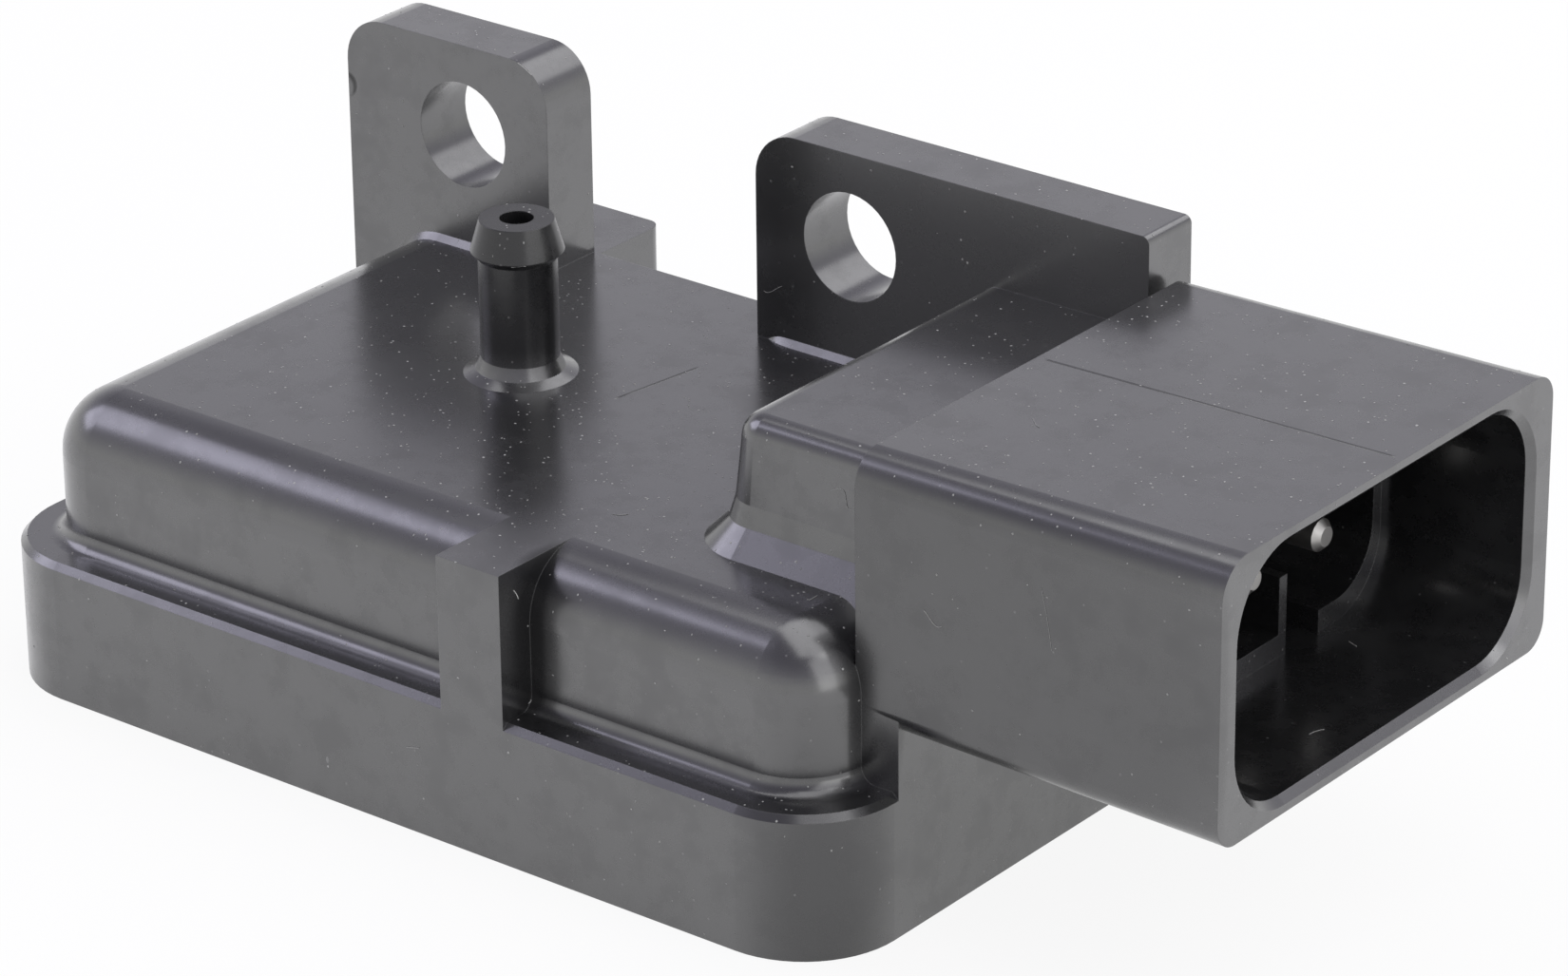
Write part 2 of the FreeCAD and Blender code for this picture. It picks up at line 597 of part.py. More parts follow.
for name, side in (("Front", -1), ("Back", 1)):
    outline = new_sketch(housing, name + "DividerOutline", "YZ_Plane",
                         "shroud_y + %d * divider_place" % side,
                         "shroud_z - socket_height / 2 + divider_height / 2", "socket_floor - wall / 2")
    rectangle(outline, "divider_thickness", "divider_height")
    extrude(housing, "Pad", name + "Divider", outline, "deep_depth + wall / 2")

for name, side in PIN_SIDES.items():
    outline = new_sketch(housing, name + "HoleOutline", "YZ_Plane",
                         "shroud_y + %d * pin_pitch" % side, "pin_height", "socket_floor + wall / 2")
    disc(outline, "pin_diameter")
    extrude(housing, "Pocket", name + "Hole", outline, "socket_floor - core_right + wall")

# Housing: bolt holes

for name, place in (("Left", "left_hole"), ("Right", "right_hole")):
    outline = new_sketch(housing, name + "BoltOutline", "XZ_Plane", place, "ear_hole_height",
                         "0 - back_plane - wall / 2")
    disc(outline, "ear_hole")
    extrude(housing, "Pocket", name + "Bolt", outline, "ear_thickness + wall", flip=True)

# Closing plate and its bead of sealing compound

plate = new_body("closing_plate")
outline = new_sketch(plate, "PlateOutline", "XY_Plane", "0", "0", "plate_under")
rounded_rectangle(outline, "tray_length - 2 * (wall - rebate + plate_gap)",
                  "tray_width - 2 * (wall - rebate + plate_gap)",
                  ["tray_corner - wall + rebate - plate_gap"] * 4)
extrude(plate, "Pad", "Plate", outline, "plate_thickness")

seal = new_body("plate_seal")
outline = new_sketch(seal, "SealOutline", "XY_Plane", "0", "0", "plate_under - seal_height")
rounded_rectangle(outline, "tray_length - 2 * (wall - rebate)", "tray_width - 2 * (wall - rebate)",
                  ["tray_corner - wall + rebate"] * 4)
extrude(seal, "Pad", "Bead", outline, "seal_height")
outline = new_sketch(seal, "SealOpeningOutline", "XY_Plane", "0", "0", "plate_under - seal_height")
rounded_rectangle(outline, "tray_length - 2 * (wall - rebate + seal_width)",
                  "tray_width - 2 * (wall - rebate + seal_width)",
                  ["tray_corner - wall + rebate - seal_width"] * 4)
extrude(seal, "Pocket", "Opening", outline, "seal_height", flip=True)

# Circuit board on the tray's shelf

board = new_body("circuit_board")
outline = new_sketch(board, "BoardOutline", "XY_Plane", "0", "0", "board_under")
rounded_rectangle(outline, "tray_length - 2 * (wall + board_gap)", "tray_width - 2 * (wall + board_gap)",
                  ["tray_corner - wall"] * 4)
extrude(board, "Pad", "Board", outline, "board_thickness")
board_holes = [("Stake%d" % i, x, y, "stake_diameter + plate_gap")
               for i, (x, y) in enumerate(stake_places, start=1)]
for name, side in PIN_SIDES.items():
    board_holes.append((name, "pin_leg", "shroud_y + %d * pin_pitch" % side, "pin_hole"))
for name, x, y, diameter in board_holes:
    outline = new_sketch(board, name + "HoleOutline", "XY_Plane", x, y, "board_under")
    disc(outline, diameter)
    extrude(board, "Pocket", name + "Hole", outline, "board_thickness", flip=True)

# Contact pins: a round pin in the socket, a square run through the bridge and a leg through the board

for name, side in PIN_SIDES.items():
    pin = new_body(name)
    pin_y = "shroud_y + %d * pin_pitch" % side
    outline = new_sketch(pin, "ContactOutline", "YZ_Plane", pin_y, "pin_height", "core_right - rim_round")
    disc(outline, "pin_diameter")
    contact = extrude(pin, "Pad", "Contact", outline, "step_plane + pin_reach - core_right + rim_round")
    nose = worth("step_plane + pin_reach")
    soften(pin, "Nose", "pin_nose", contact, lambda edge: flat(edge, "X", nose), kind="Chamfer")
    outline = new_sketch(pin, "LegOutline", "XY_Plane", "pin_leg", pin_y, "board_under - pin_tail")
    rectangle(outline, "pin_blade", "pin_blade")
    extrude(pin, "Pad", "Leg", outline, "pin_height + pin_blade / 2 - board_under + pin_tail")
    outline = new_sketch(pin, "RunOutline", "YZ_Plane", pin_y, "pin_height", "pin_leg - pin_blade / 2")
    rectangle(outline, "pin_blade", "pin_blade")
    run = extrude(pin, "Pad", "Run", outline, "core_right - pin_leg + pin_blade / 2")
    elbow_x = worth("pin_leg - pin_blade / 2")
    elbow_z = worth("pin_height + pin_blade / 2")
    soften(pin, "Elbow", "pin_elbow", run,
           lambda edge: flat(edge, "X", elbow_x) and flat(edge, "Z", elbow_z), kind="Chamfer")

# Pressure cell on the board below the nipple


def cell_sketch(body, name, height):
    """A sketch on the nipple's axis."""
    return new_sketch(body, name, "XY_Plane", "nipple_middle_x", "nipple_middle_y", height)


cell = new_body("cell_body")
outline = cell_sketch(cell, "FrameOutline", "shelf")
rectangle(outline, "cell_side", "cell_side")
extrude(cell, "Pad", "Frame", outline, "cell_height")
outline = cell_sketch(cell, "FrameHollowOutline", "shelf + cell_floor")
rectangle(outline, "cell_side - 2 * cell_wall", "cell_side - 2 * cell_wall")
extrude(cell, "Pocket", "FrameHollow", outline, "cell_height", flip=True)

cap = new_body("cell_cap")
outline = cell_sketch(cap, "CapOutline", "cell_top")
rectangle(outline, "cell_side", "cell_side")
extrude(cap, "Pad", "CapPlate", outline, "cap_height")
outline = cell_sketch(cap, "TubeOutline", "cell_top")
disc(outline, "tube_diameter")
extrude(cap, "Pad", "Tube", outline, "seal_socket_end - tube_end_gap - cell_top")
outline = cell_sketch(cap, "TubeBoreOutline", "cell_top")
disc(outline, "tube_bore")
extrude(cap, "Pocket", "TubeBore", outline, "seal_socket_end - cell_top", flip=True)

pedestal = new_body("cell_pedestal")
outline = cell_sketch(pedestal, "PedestalOutline", "shelf + cell_floor")
rectangle(outline, "pedestal_side", "pedestal_side")
extrude(pedestal, "Pad", "Pedestal", outline, "pedestal_height")

die = new_body("sensing_die")
outline = cell_sketch(die, "DieOutline", "shelf + cell_floor + pedestal_height")
rectangle(outline, "die_side", "die_side")
extrude(die, "Pad", "Die", outline, "die_height")
outline = cell_sketch(die, "EtchOutline", "shelf + cell_floor + pedestal_height")
rectangle(outline, "die_side * 2 / 3", "die_side * 2 / 3")
extrude(die, "Pocket", "Etch", outline, "die_height - diaphragm", flip=True, taper="0 - etch_slope")

ring = new_body("port_seal")
ring_foot = "boss_end + (seal_socket_depth - ring_section) / 2"
outline = cell_sketch(ring, "RingOutline", ring_foot)
disc(outline, "seal_socket")
extrude(ring, "Pad", "Ring", outline, "ring_section")
outline = cell_sketch(ring, "RingHoleOutline", ring_foot)
disc(outline, "tube_diameter")
ring_hole = extrude(ring, "Pocket", "RingHole", outline, "ring_section", flip=True)
soften(ring, "RingEdges", "ring_section / 4", ring_hole, lambda edge: near(edge.BoundBox.ZLength, 0),
       kind="Chamfer")

# Small parts on the board


def block_at(name, x, y, z, length, width, height):
    """A plain block, given by the middle of its foot."""
    box = document.addObject("Part::Box", name)
    box.setExpression("Length", bound(length))
    box.setExpression("Width", bound(width))
    box.setExpression("Height", bound(height))
    box.setExpression("Placement.Base.x", bound("%s - (%s) / 2" % (x, length)))
    box.setExpression("Placement.Base.y", bound("%s - (%s) / 2" % (y, width)))
    box.setExpression("Placement.Base.z", bound(z))
    return box


def group(name, members):
    """Like pieces that share one node."""
    node = document.addObject("Part::Compound", name)
    node.Label = name
    node.Links = members
    return node


def bent_leads(name, x, y, half_width, rise):
    """Two rows of leads from a body's sides down to the board."""
    reach = worth("lead_reach")
    knee = reach * LEAD_KNEE
    thick = worth("lead_thickness")
    solids = []
    for side in (-1, 1):
        path = [(0, rise), (knee, rise), (knee, thick), (reach, thick), (reach, 0), (knee - thick, 0),
                (knee - thick, rise - thick), (0, rise - thick)]
        corners = [Vector(0, side * (half_width + across), up) for across, up in path]
        face = Part.Face(Part.makePolygon(corners + corners[:1]))
        for i in range(LEADS_A_SIDE):
            lead = face.extrude(Vector(worth("lead_width"), 0, 0))
            place = (i - (LEADS_A_SIDE - 1) / 2) * worth("lead_pitch") - worth("lead_width / 2")
            lead.translate(Vector(x + place, y, worth("shelf")))
            solids.append(lead)
    node = document.addObject("Part::Feature", name)
    node.Label = name
    node.Shape = Part.makeCompound(solids)


for name, side in (("amplifier", -1), ("regulator", 1)):
    x = "nipple_middle_x + cell_side"
    y = "dome_shift + %d * (dome_width / 2 - wall - chip_room - lead_reach - chip_width / 2)" % side
    chip = new_body(name + "_chip")
    outline = new_sketch(chip, "ChipOutline", "XY_Plane", x, y, "shelf + chip_stand")
    rectangle(outline, "chip_length", "chip_width")
    extrude(chip, "Pad", "Chip", outline, "chip_height")
    bent_leads(name + "_leads", worth(x), worth(y), worth("chip_width / 2"), worth("chip_height / 2"))

bent_leads("cell_leads", worth("nipple_middle_x"), worth("nipple_middle_y"), worth("cell_side / 2"),
           worth("cell_height / 2"))

for name, side in (("supply_capacitor", 1), ("signal_capacitor", 0), ("ground_capacitor", -1)):
    capacitor = block_at(name, "(pin_leg - pin_blade / 2 - cell_room - capacitor_length / 2)",
                         "(shroud_y + %d * pin_pitch)" % side, "shelf", "capacitor_length",
                         "capacitor_width", "capacitor_height")
    capacitor.Label = name


def resistor_row(name, x, y, count):
    """A row of like resistors along X, in one node."""
    members = []
    for i in range(count):
        place = "(%s + (%d - %d / 2) * resistor_pitch)" % (x, i, count - 1)
        members.append(block_at("%s_%d" % (name, i), place, y, "shelf", "resistor_width",
                                "resistor_length", "resistor_height"))
    return group(name, members)


resistor_row("trim_resistors", "(nipple_middle_x)", "(nipple_middle_y - cell_side)", TRIM_COUNT)
resistor_row("bridge_resistors",
             "(nipple_middle_x - cell_side / 2 - cell_room - resistor_width / 2 - %d / 2 * resistor_pitch)"
             % (BRIDGE_COUNT - 1), "(nipple_middle_y)", BRIDGE_COUNT)

joints = []
for name, side in PIN_SIDES.items():
    cone = document.addObject("Part::Cone", name + "_cone")
    cone.setExpression("Radius1", bound("pin_hole / 2"))
    cone.setExpression("Radius2", bound("pin_hole / 2 + solder_reach"))
    cone.setExpression("Height", bound("pin_tail"))
    cone.setExpression("Placement.Base.x", bound("pin_leg"))
    cone.setExpression("Placement.Base.y", bound("shroud_y + %d * pin_pitch" % side))
    cone.setExpression("Placement.Base.z", bound("board_under - pin_tail"))
    tail = block_at(name + "_tail", "(pin_leg)", "(shroud_y + %d * pin_pitch)" % side,
                    "board_under - pin_tail", "pin_blade", "pin_blade", "pin_tail")
    joint = document.addObject("Part::Cut", name + "_joint")
    joint.Base = cone
    joint.Tool = tail
    joints.append(joint)
group("solder_joints", joints)

# Check and write

document.recompute()
NODES = [
    "housing", "closing_plate", "plate_seal", "circuit_board",
    "terminal_supply", "terminal_signal", "terminal_ground",
    "cell_body", "cell_cap", "cell_pedestal", "sensing_die", "cell_leads", "port_seal",
    "amplifier_chip", "amplifier_leads", "regulator_chip", "regulator_leads",
    "supply_capacitor", "signal_capacitor", "ground_capacitor",
    "trim_resistors", "bridge_resistors", "solder_joints",
]
for item in document.Objects:
    if "Invalid" in item.State or "Error" in item.State:
        raise RuntimeError("%s failed: %s" % (item.Label, item.State))
os.makedirs("parts", exist_ok=True)
for name in NODES:
    node = document.getObjectsByLabel(name)[0]
    if node.Shape.isNull() or not node.Shape.isValid():
        raise RuntimeError("%s has no valid shape" % name)
for name in NODES:
    document.getObjectsByLabel(name)[0].Shape.exportStep("parts/%s.step" % name)
    shape = document.getObjectsByLabel(name)[0].Shape
    print("%-18s %2d solids %9.2f mm3" % (name, len(shape.Solids), shape.Volume))
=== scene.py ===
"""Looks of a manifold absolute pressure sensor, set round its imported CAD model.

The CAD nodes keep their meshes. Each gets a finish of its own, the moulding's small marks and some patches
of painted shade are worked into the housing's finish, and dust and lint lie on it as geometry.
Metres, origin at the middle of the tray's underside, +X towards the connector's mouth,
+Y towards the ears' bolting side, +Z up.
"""

import logging
import math
from dataclasses import dataclass, field
from enum import Enum

import bpy
from mathutils import Matrix, Vector


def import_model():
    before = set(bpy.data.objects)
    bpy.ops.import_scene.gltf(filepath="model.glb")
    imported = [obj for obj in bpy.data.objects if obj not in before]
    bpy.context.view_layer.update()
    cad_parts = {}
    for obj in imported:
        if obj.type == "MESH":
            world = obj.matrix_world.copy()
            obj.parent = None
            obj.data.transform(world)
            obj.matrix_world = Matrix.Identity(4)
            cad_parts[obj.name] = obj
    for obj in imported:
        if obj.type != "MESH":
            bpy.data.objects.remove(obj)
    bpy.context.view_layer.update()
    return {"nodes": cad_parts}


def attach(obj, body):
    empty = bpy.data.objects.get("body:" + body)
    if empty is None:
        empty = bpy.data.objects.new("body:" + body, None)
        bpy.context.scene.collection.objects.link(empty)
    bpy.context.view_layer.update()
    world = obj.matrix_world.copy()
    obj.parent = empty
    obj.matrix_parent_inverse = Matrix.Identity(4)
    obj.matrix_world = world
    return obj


LOG = logging.getLogger("sensor")
MM = 0.001
ROOT = "root"

Colour = tuple[float, float, float]
Point = tuple[float, float, float]
Band = tuple[float, float]
Outputs = dict[str | int, "Wire"]
WHITE: Colour = (1.0, 1.0, 1.0)


def mm(x: float, y: float, z: float) -> Point:
    """A point or a size given in millimetres, in metres."""
    return x * MM, y * MM, z * MM


class Curve(Enum):
    """How a value runs between two limits."""

    EVEN = "LINEAR"
    EASED = "SMOOTHSTEP"


class Wire:
    """A node socket that takes part in sums, so that shader maths reads as maths."""

    def __init__(self, bench: "Bench", socket: bpy.types.NodeSocket) -> None:
        """Keeps the socket and the bench that adds nodes for it.

        Args:
            bench: The node tree's bench.
            socket: The output socket to wrap.
        """
        self.bench = bench
        self.socket = socket

    def _math(self, operation: str, *values: "Wire | float") -> "Wire":
        """Adds one Math node over the given values."""
        sockets = dict(enumerate(values))
        return self.bench.add("ShaderNodeMath", {"operation": operation}, sockets)["Value"]

    def __add__(self, other: "Wire | float") -> "Wire":
        """Sum."""
        return self._math("ADD", self, other)

    __radd__ = __add__

    def __sub__(self, other: "Wire | float") -> "Wire":
        """Difference."""
        return self._math("SUBTRACT", self, other)

    def __rsub__(self, other: float) -> "Wire":
        """Difference from a number."""
        return self._math("SUBTRACT", other, self)

    def __mul__(self, other: "Wire | float") -> "Wire":
        """Product."""
        return self._math("MULTIPLY", self, other)

    __rmul__ = __mul__

    def size(self) -> "Wire":
        """The value without its sign."""
        return self._math("ABSOLUTE", self)

    def least(self, other: "Wire | float") -> "Wire":
        """The smaller of two values."""
        return self._math("MINIMUM", self, other)

    def most(self, other: "Wire | float") -> "Wire":
        """The larger of two values."""
        return self._math("MAXIMUM", self, other)

    def remap(self, low: float, high: float, start: float, end: float, curve: Curve = Curve.EVEN) -> "Wire":
        """Runs from one value to another between two limits, and stays level outside them.

        Args:
            low: The limit that gives the start.
            high: The limit that gives the end; it is above low.
            start: The value up to the low limit.
            end: The value from the high limit on.
            curve: How it runs between them.

        Returns:
            The new value.
        """
        settings = {"interpolation_type": curve.value, "clamp": True}
        sockets = {"Value": self, "From Min": low, "From Max": high, "To Min": start, "To Max": end}
        return self.bench.add("ShaderNodeMapRange", settings, sockets)["Result"]

    def ramp(self, low: float, high: float) -> "Wire":
        """0 at low, 1 at high and smooth between them; high may be the lower of the two.

        Args:
            low: The value that gives 0.
            high: The value that gives 1.

        Returns:
            The eased value.
        """
        if low < high:
            return self.remap(low, high, 0.0, 1.0, Curve.EASED)
        return self.remap(high, low, 1.0, 0.0, Curve.EASED)


class Bench:
    """Adds nodes to one tree."""

    def __init__(self, tree: bpy.types.NodeTree) -> None:
        """Starts with an empty tree.

        Args:
            tree: The node tree of a material, the world or a Geometry Nodes group.
        """
        self.tree = tree
        tree.nodes.clear()

    def add(self, kind: str, settings: dict | None = None, sockets: dict | None = None) -> Outputs:
        """Adds a node: its settings first, then its sockets' values or links.

        Args:
            kind: The node's type.
            settings: Values of the node's own properties.
            sockets: Values or wires for its inputs, by index or name.

        Returns:
            The node's outputs, by index and by name.
        """
        node = self.tree.nodes.new(kind)
        for name, value in (settings or {}).items():
            setattr(node, name, value)
        for key, value in (sockets or {}).items():
            if isinstance(value, Wire):
                self.tree.links.new(value.socket, node.inputs[key])
            else:
                node.inputs[key].default_value = value
        wires = [Wire(self, output) for output in node.outputs]
        return dict(enumerate(wires)) | {wire.socket.name: wire for wire in wires}

    def place(self) -> Wire:
        """The point on the object, in its own coordinates."""
        return self.add("ShaderNodeTexCoord")["Object"]

    def split(self, vector: Wire) -> list[Wire]:
        """The three parts of a vector."""
        parts = self.add("ShaderNodeSeparateXYZ", None, {"Vector": vector})
        return [parts[axis] for axis in "XYZ"]

    def vector(self, operation: str, first: Wire | Point, second: Wire | Point) -> Outputs:
        """Adds one Vector Math node over two vectors."""
        return self.add("ShaderNodeVectorMath", {"operation": operation}, {0: first, 1: second})

    def noise(self, vector: Wire, per_mm: float, detail: float = 3.0, rough: float = 0.55) -> Wire:
        """Soft noise between 0 and 1.

        Args:
            vector: Where the noise is read, in metres.
            per_mm: Waves in a millimetre.
            detail: Octaves.
            rough: Weight of the finer octaves.

        Returns:
            The noise's value.
        """
        sockets = {"Vector": vector, "Scale": per_mm / MM, "Detail": detail, "Roughness": rough}
        return self.add("ShaderNodeTexNoise", None, sockets)["Fac"]

    def cells(self, vector: Wire, per_mm: float) -> tuple[Wire, Wire]:
        """Distance to the nearest random point, as a share of the cell, and a random value per cell.

        Args:
            vector: Where the pattern is read, in metres.
            per_mm: Cells in a millimetre.

        Returns:
            The distance and the cell's random value.
        """
        outputs = self.add("ShaderNodeTexVoronoi", None, {"Vector": vector, "Scale": per_mm / MM})
        return outputs["Distance"], self.split(outputs["Color"])[0]

    def blend(self, factor: Wire | float, first: Wire | Colour, second: Wire | Colour) -> Wire:
        """Mixes two colours.

        Args:
            factor: 0 gives the first colour and 1 the second.
            first: A colour or a wire.
            second: A colour or a wire.

        Returns:
            The mixed colour.
        """
        sides = [side if isinstance(side, Wire) else (*side, 1.0) for side in (first, second)]
        settings = {"data_type": "RGBA", "blend_type": "MIX"}
        return self.add("ShaderNodeMix", settings, {0: factor, 6: sides[0], 7: sides[1]})[2]

    def blob(self, place: Wire, centre: Point, half: Point, solid: float) -> Wire:
        """1 inside an ellipsoid, easing to 0 at its rim.

        Args:
            place: The point on the object.
            centre: The ellipsoid's middle.
            half: Its half lengths.
            solid: The share of them within which the value is 1.

        Returns:
            The mask.
        """
        unit = self.vector("DIVIDE", self.vector("SUBTRACT", place, centre)["Vector"], half)["Vector"]
        reach = self.add("ShaderNodeVectorMath", {"operation": "LENGTH"}, {0: unit})["Value"]
        return reach.ramp(1.0, solid)

    def bump(self, height: Wire, depth: float, normal: Wire | None = None) -> Wire:
        """A normal tilted by a height.

        Args:
            height: The height, about 0 to 1.
            depth: What 1 is worth, in metres.
            normal: A normal to start from.

        Returns:
            The normal.
        """
        sockets = {"Strength": 1.0, "Distance": depth, "Height": height}
        if normal:
            sockets["Normal"] = normal
        return self.add("ShaderNodeBump", None, sockets)["Normal"]

    def edge_round(self, radius: float) -> Wire:
        """The normal of an edge that is rounded a little."""
        return self.add("ShaderNodeBevel", {"samples": 6}, {"Radius": radius})["Normal"]

    def surface(self, sockets: dict) -> None:
        """Ends the tree in a Principled shader with these inputs."""
        shader = self.add("ShaderNodeBsdfPrincipled", None, sockets)["BSDF"]
        self.add("ShaderNodeOutputMaterial", None, {"Surface": shader})


def new_material(name: str) -> tuple[bpy.types.Material, Bench]:
    """A material with an empty node tree.

    Args:
        name: The material's name.

    Returns:
        The material and its bench.
    """
    material = bpy.data.materials.new(name)
    material.use_nodes = True
    return material, Bench(material.node_tree)


def dress(piece: bpy.types.Object, material: bpy.types.Material) -> None:
    """Gives a piece one material all over."""
    piece.data.materials.clear()
    piece.data.materials.append(material)


@dataclass(frozen=True)
class WitnessLine:
    """A fine raised line where two parts of the mould met."""

    start: Point
    end: Point
    width: float = 0.12 * MM
    core: float = 0.35
    run_out: float = 0.4 * MM
    level_rim: float = 0.3 * MM
    level_core: float = 0.2 * MM

    def mask(self, bench: Bench, place: Wire) -> Wire:
        """1 on the line and 0 beside it.

        Args:
            bench: The tree's bench.
            place: The point on the object.

        Returns:
            The mask.
        """
        start, end = Vector(self.start), Vector(self.end)
        along = (end - start).normalized()
        across = Vector((along.y, -along.x, 0.0))
        off = bench.split(bench.vector("SUBTRACT", place, tuple((start + end) / 2))["Vector"])
        side = off[0] * across.x + off[1] * across.y
        run = off[0] * along.x + off[1] * along.y
        half = (end - start).length / 2
        on_line = side.size().ramp(self.width, self.width * self.core)
        on_run = run.size().ramp(half, half - self.run_out)
        on_level = off[2].size().ramp(self.level_rim, self.level_core)
        return on_line * on_run * on_level


@dataclass(frozen=True)
class Mark:
    """A small spot: a pit or a pale scuff from wear, or a nick's crescent that carries painted shade in its
    hollow.
    """

    centre: Point
    half: Point
    tone: Colour
    depth: float = 0.0
    bite: Point | None = None
    solid: float = 0.7

    def mask(self, bench: Bench, place: Wire) -> Wire:
        """The spot, less a second one that turns it into a crescent.

        Args:
            bench: The tree's bench.
            place: The point on the object.

        Returns:
            The mask.
        """
        spot = bench.blob(place, self.centre, self.half, self.solid)
        if self.bite is None:
            return spot
        return spot * (1.0 - bench.blob(place, self.bite, self.half, self.solid))


@dataclass(frozen=True)
class PaintedShadePatch:
    """Painted shade: a stretch of the skin whose coat is taken down so that it renders darker, fading out
    at its rim.
    """

    centre: Point
    half: Point
    share: float
    solid: float = 0.6


@dataclass(frozen=True)
class Finish:
    """What a surface is made of and how it is worn."""

    name: str

    def inputs(self, bench: Bench, place: Wire) -> dict[str, Wire | float]:
        """Works out the Principled shader's inputs; each finish has its own.

        Args:
            bench: The material's bench.
            place: The point on the object.

        Returns:
            The inputs by name.
        """
        raise NotImplementedError

    def material(self) -> bpy.types.Material:
        """Builds the finish.

        Returns:
            The material.
        """
        material, bench = new_material(self.name)
        bench.surface(self.inputs(bench, bench.place()))
        return material


@dataclass(frozen=True)
class Moulding(Finish):
    """Satin black moulded plastic with a fine skin, a cloudy film and pale dots on it."""

    tint: Colour = (0.0085, 0.0085, 0.0090)
    pale: Colour = (0.020, 0.020, 0.0205)
    dot_tone: Colour = (0.25, 0.25, 0.245)
    roughness: float = 0.25
    specular: float = 0.6
    coat: float = 0.78
    coat_index: float = 2.2
    coat_haze: float = 0.85
    clouds_per_mm: float = 0.07
    film_per_mm: float = 0.35
    grain_per_mm: float = 3.2
    dots_per_mm: float = 1.1
    cloud_band: Band = (0.35, 0.75)
    film_band: Band = (0.42, 0.68)
    dot_rim: Band = (0.10, 0.05)
    dot_chance: Band = (0.62, 0.66)
    grain_depth: float = 0.0022 * MM
    line_depth: float = 0.05 * MM
    edge: float = 0.10 * MM
    lines: tuple[WitnessLine, ...] = ()
    marks: tuple[Mark, ...] = ()
    # painted shade: patches where the coat is taken down to darken the skin
    dull: tuple[PaintedShadePatch, ...] = ()

    def inputs(self, bench: Bench, place: Wire) -> dict[str, Wire | float]:
        """Mixes tint, film and dots, then works in the patches of painted shade, witness lines and marks.

        Args:
            bench: The material's bench.
            place: The point on the object.

        Returns:
            The inputs by name.
        """
        cloud = bench.noise(place, self.clouds_per_mm, 4.0)
        film = bench.noise(place, self.film_per_mm, 6.0, 0.65).ramp(*self.film_band)
        fine = bench.noise(place, self.grain_per_mm, 2.0)
        distance, chance = bench.cells(place, self.dots_per_mm)
        dots = distance.ramp(*self.dot_rim) * chance.ramp(*self.dot_chance)
        haze = cloud.ramp(*self.cloud_band) * 0.5 + film * 0.5
        colour = bench.blend(haze, self.tint, self.pale)
        colour = bench.blend(dots * 0.35, colour, self.dot_tone)
        rough = self.roughness + (cloud - 0.5) * 0.14 + film * 0.07 + (fine - 0.5) * 0.06 + dots * 0.3
        grain = bench.bump(fine, self.grain_depth, bench.edge_round(self.edge))
        coat = self.coat - film * 0.15
        # painted shade: the coat is taken down inside each patch so that the skin renders darker there
        for patch in self.dull:
            coat = coat * (1.0 - bench.blob(place, patch.centre, patch.half, patch.solid) * patch.share)
        for line in self.lines:
            mask = line.mask(bench, place)
            coat = coat * (1.0 - mask * 0.8)
            grain = bench.bump(1.0 - mask, self.line_depth, grain)
        # Each mark paints its tone: the pit and the scuff as wear, and painted shade in the ear's nick.
        for mark in self.marks:
            mask = mark.mask(bench, place)
            colour = bench.blend(mask * 0.9, colour, mark.tone)
            coat = coat * (1.0 - mask * 0.7)
            rough = rough + mask * 0.3
            if mark.depth:
                grain = bench.bump(1.0 - mask, mark.depth, grain)
        return {
            "Base Color": colour,
            "Roughness": rough.most(0.1).least(0.9),
            "Specular IOR Level": self.specular,
            "Coat Weight": coat,
            "Coat IOR": self.coat_index,
            "Coat Roughness": self.roughness * self.coat_haze,
            "Normal": grain,
        }


@dataclass(frozen=True)
class Plating(Finish):
    """Bright tin on metal, with fine drawn lines along one axis."""

    tint: Colour = (0.50, 0.49, 0.47)
    roughness: float = 0.30
    stretch: Point = (0.15, 1.0, 1.0)
    lines_per_mm: float = 6.0
    line_depth: float = 0.002 * MM
    tarnish_per_mm: float = 0.4
    tarnish_band: Band = (0.45, 0.7)
    tarnish_share: float = 0.7
    edge: float = 0.05 * MM

    def inputs(self, bench: Bench, place: Wire) -> dict[str, Wire | float]:
        """Draws the lines out along one axis and dulls the metal in patches.

        Args:
            bench: The material's bench.
            place: The point on the object.

        Returns:
            The inputs by name.
        """
        stretched = {"Vector": place, "Scale": self.stretch}
        drawn = bench.add("ShaderNodeMapping", {"vector_type": "POINT"}, stretched)["Vector"]
        lines = bench.noise(drawn, self.lines_per_mm, 4.0)
        dull = bench.noise(place, self.tarnish_per_mm, 3.0).ramp(*self.tarnish_band)
        tarnished = tuple(part * self.tarnish_share for part in self.tint)
        return {
            "Base Color": bench.blend(dull * 0.5, self.tint, tarnished),
            "Metallic": 1.0,
            "Roughness": self.roughness + lines * 0.16 + dull * 0.1,
            "Normal": bench.bump(lines, self.line_depth, bench.edge_round(self.edge)),
        }


@dataclass(frozen=True)
class Plain(Finish):
    """An even finish with a slight mottle, for ceramics, rubber, laminate, silicon and glass."""

    tint: Colour
    roughness: float
    mottle: Colour
    metallic: float = 0.0
    clear: float = 0.0
    clouds_per_mm: float = 0.35
    cloud_band: Band = (0.35, 0.7)
    grain_per_mm: float = 2.0
    grain_depth: float = 0.004 * MM
    edge: float = 0.06 * MM

    def inputs(self, bench: Bench, place: Wire) -> dict[str, Wire | float]:
        """Mottles the tint and roughens it with a fine grain.

        Args:
            bench: The material's bench.
            place: The point on the object.

        Returns:
            The inputs by name.
        """
        cloud = bench.noise(place, self.clouds_per_mm, 3.0)
        fine = bench.noise(place, self.grain_per_mm, 2.0)
        return {
            "Base Color": bench.blend(cloud.ramp(*self.cloud_band), self.tint, self.mottle),
            "Roughness": self.roughness + (fine - 0.5) * 0.1,
            "Metallic": self.metallic,
            "Transmission Weight": self.clear,
            "Normal": bench.bump(fine, self.grain_depth, bench.edge_round(self.edge)),
        }


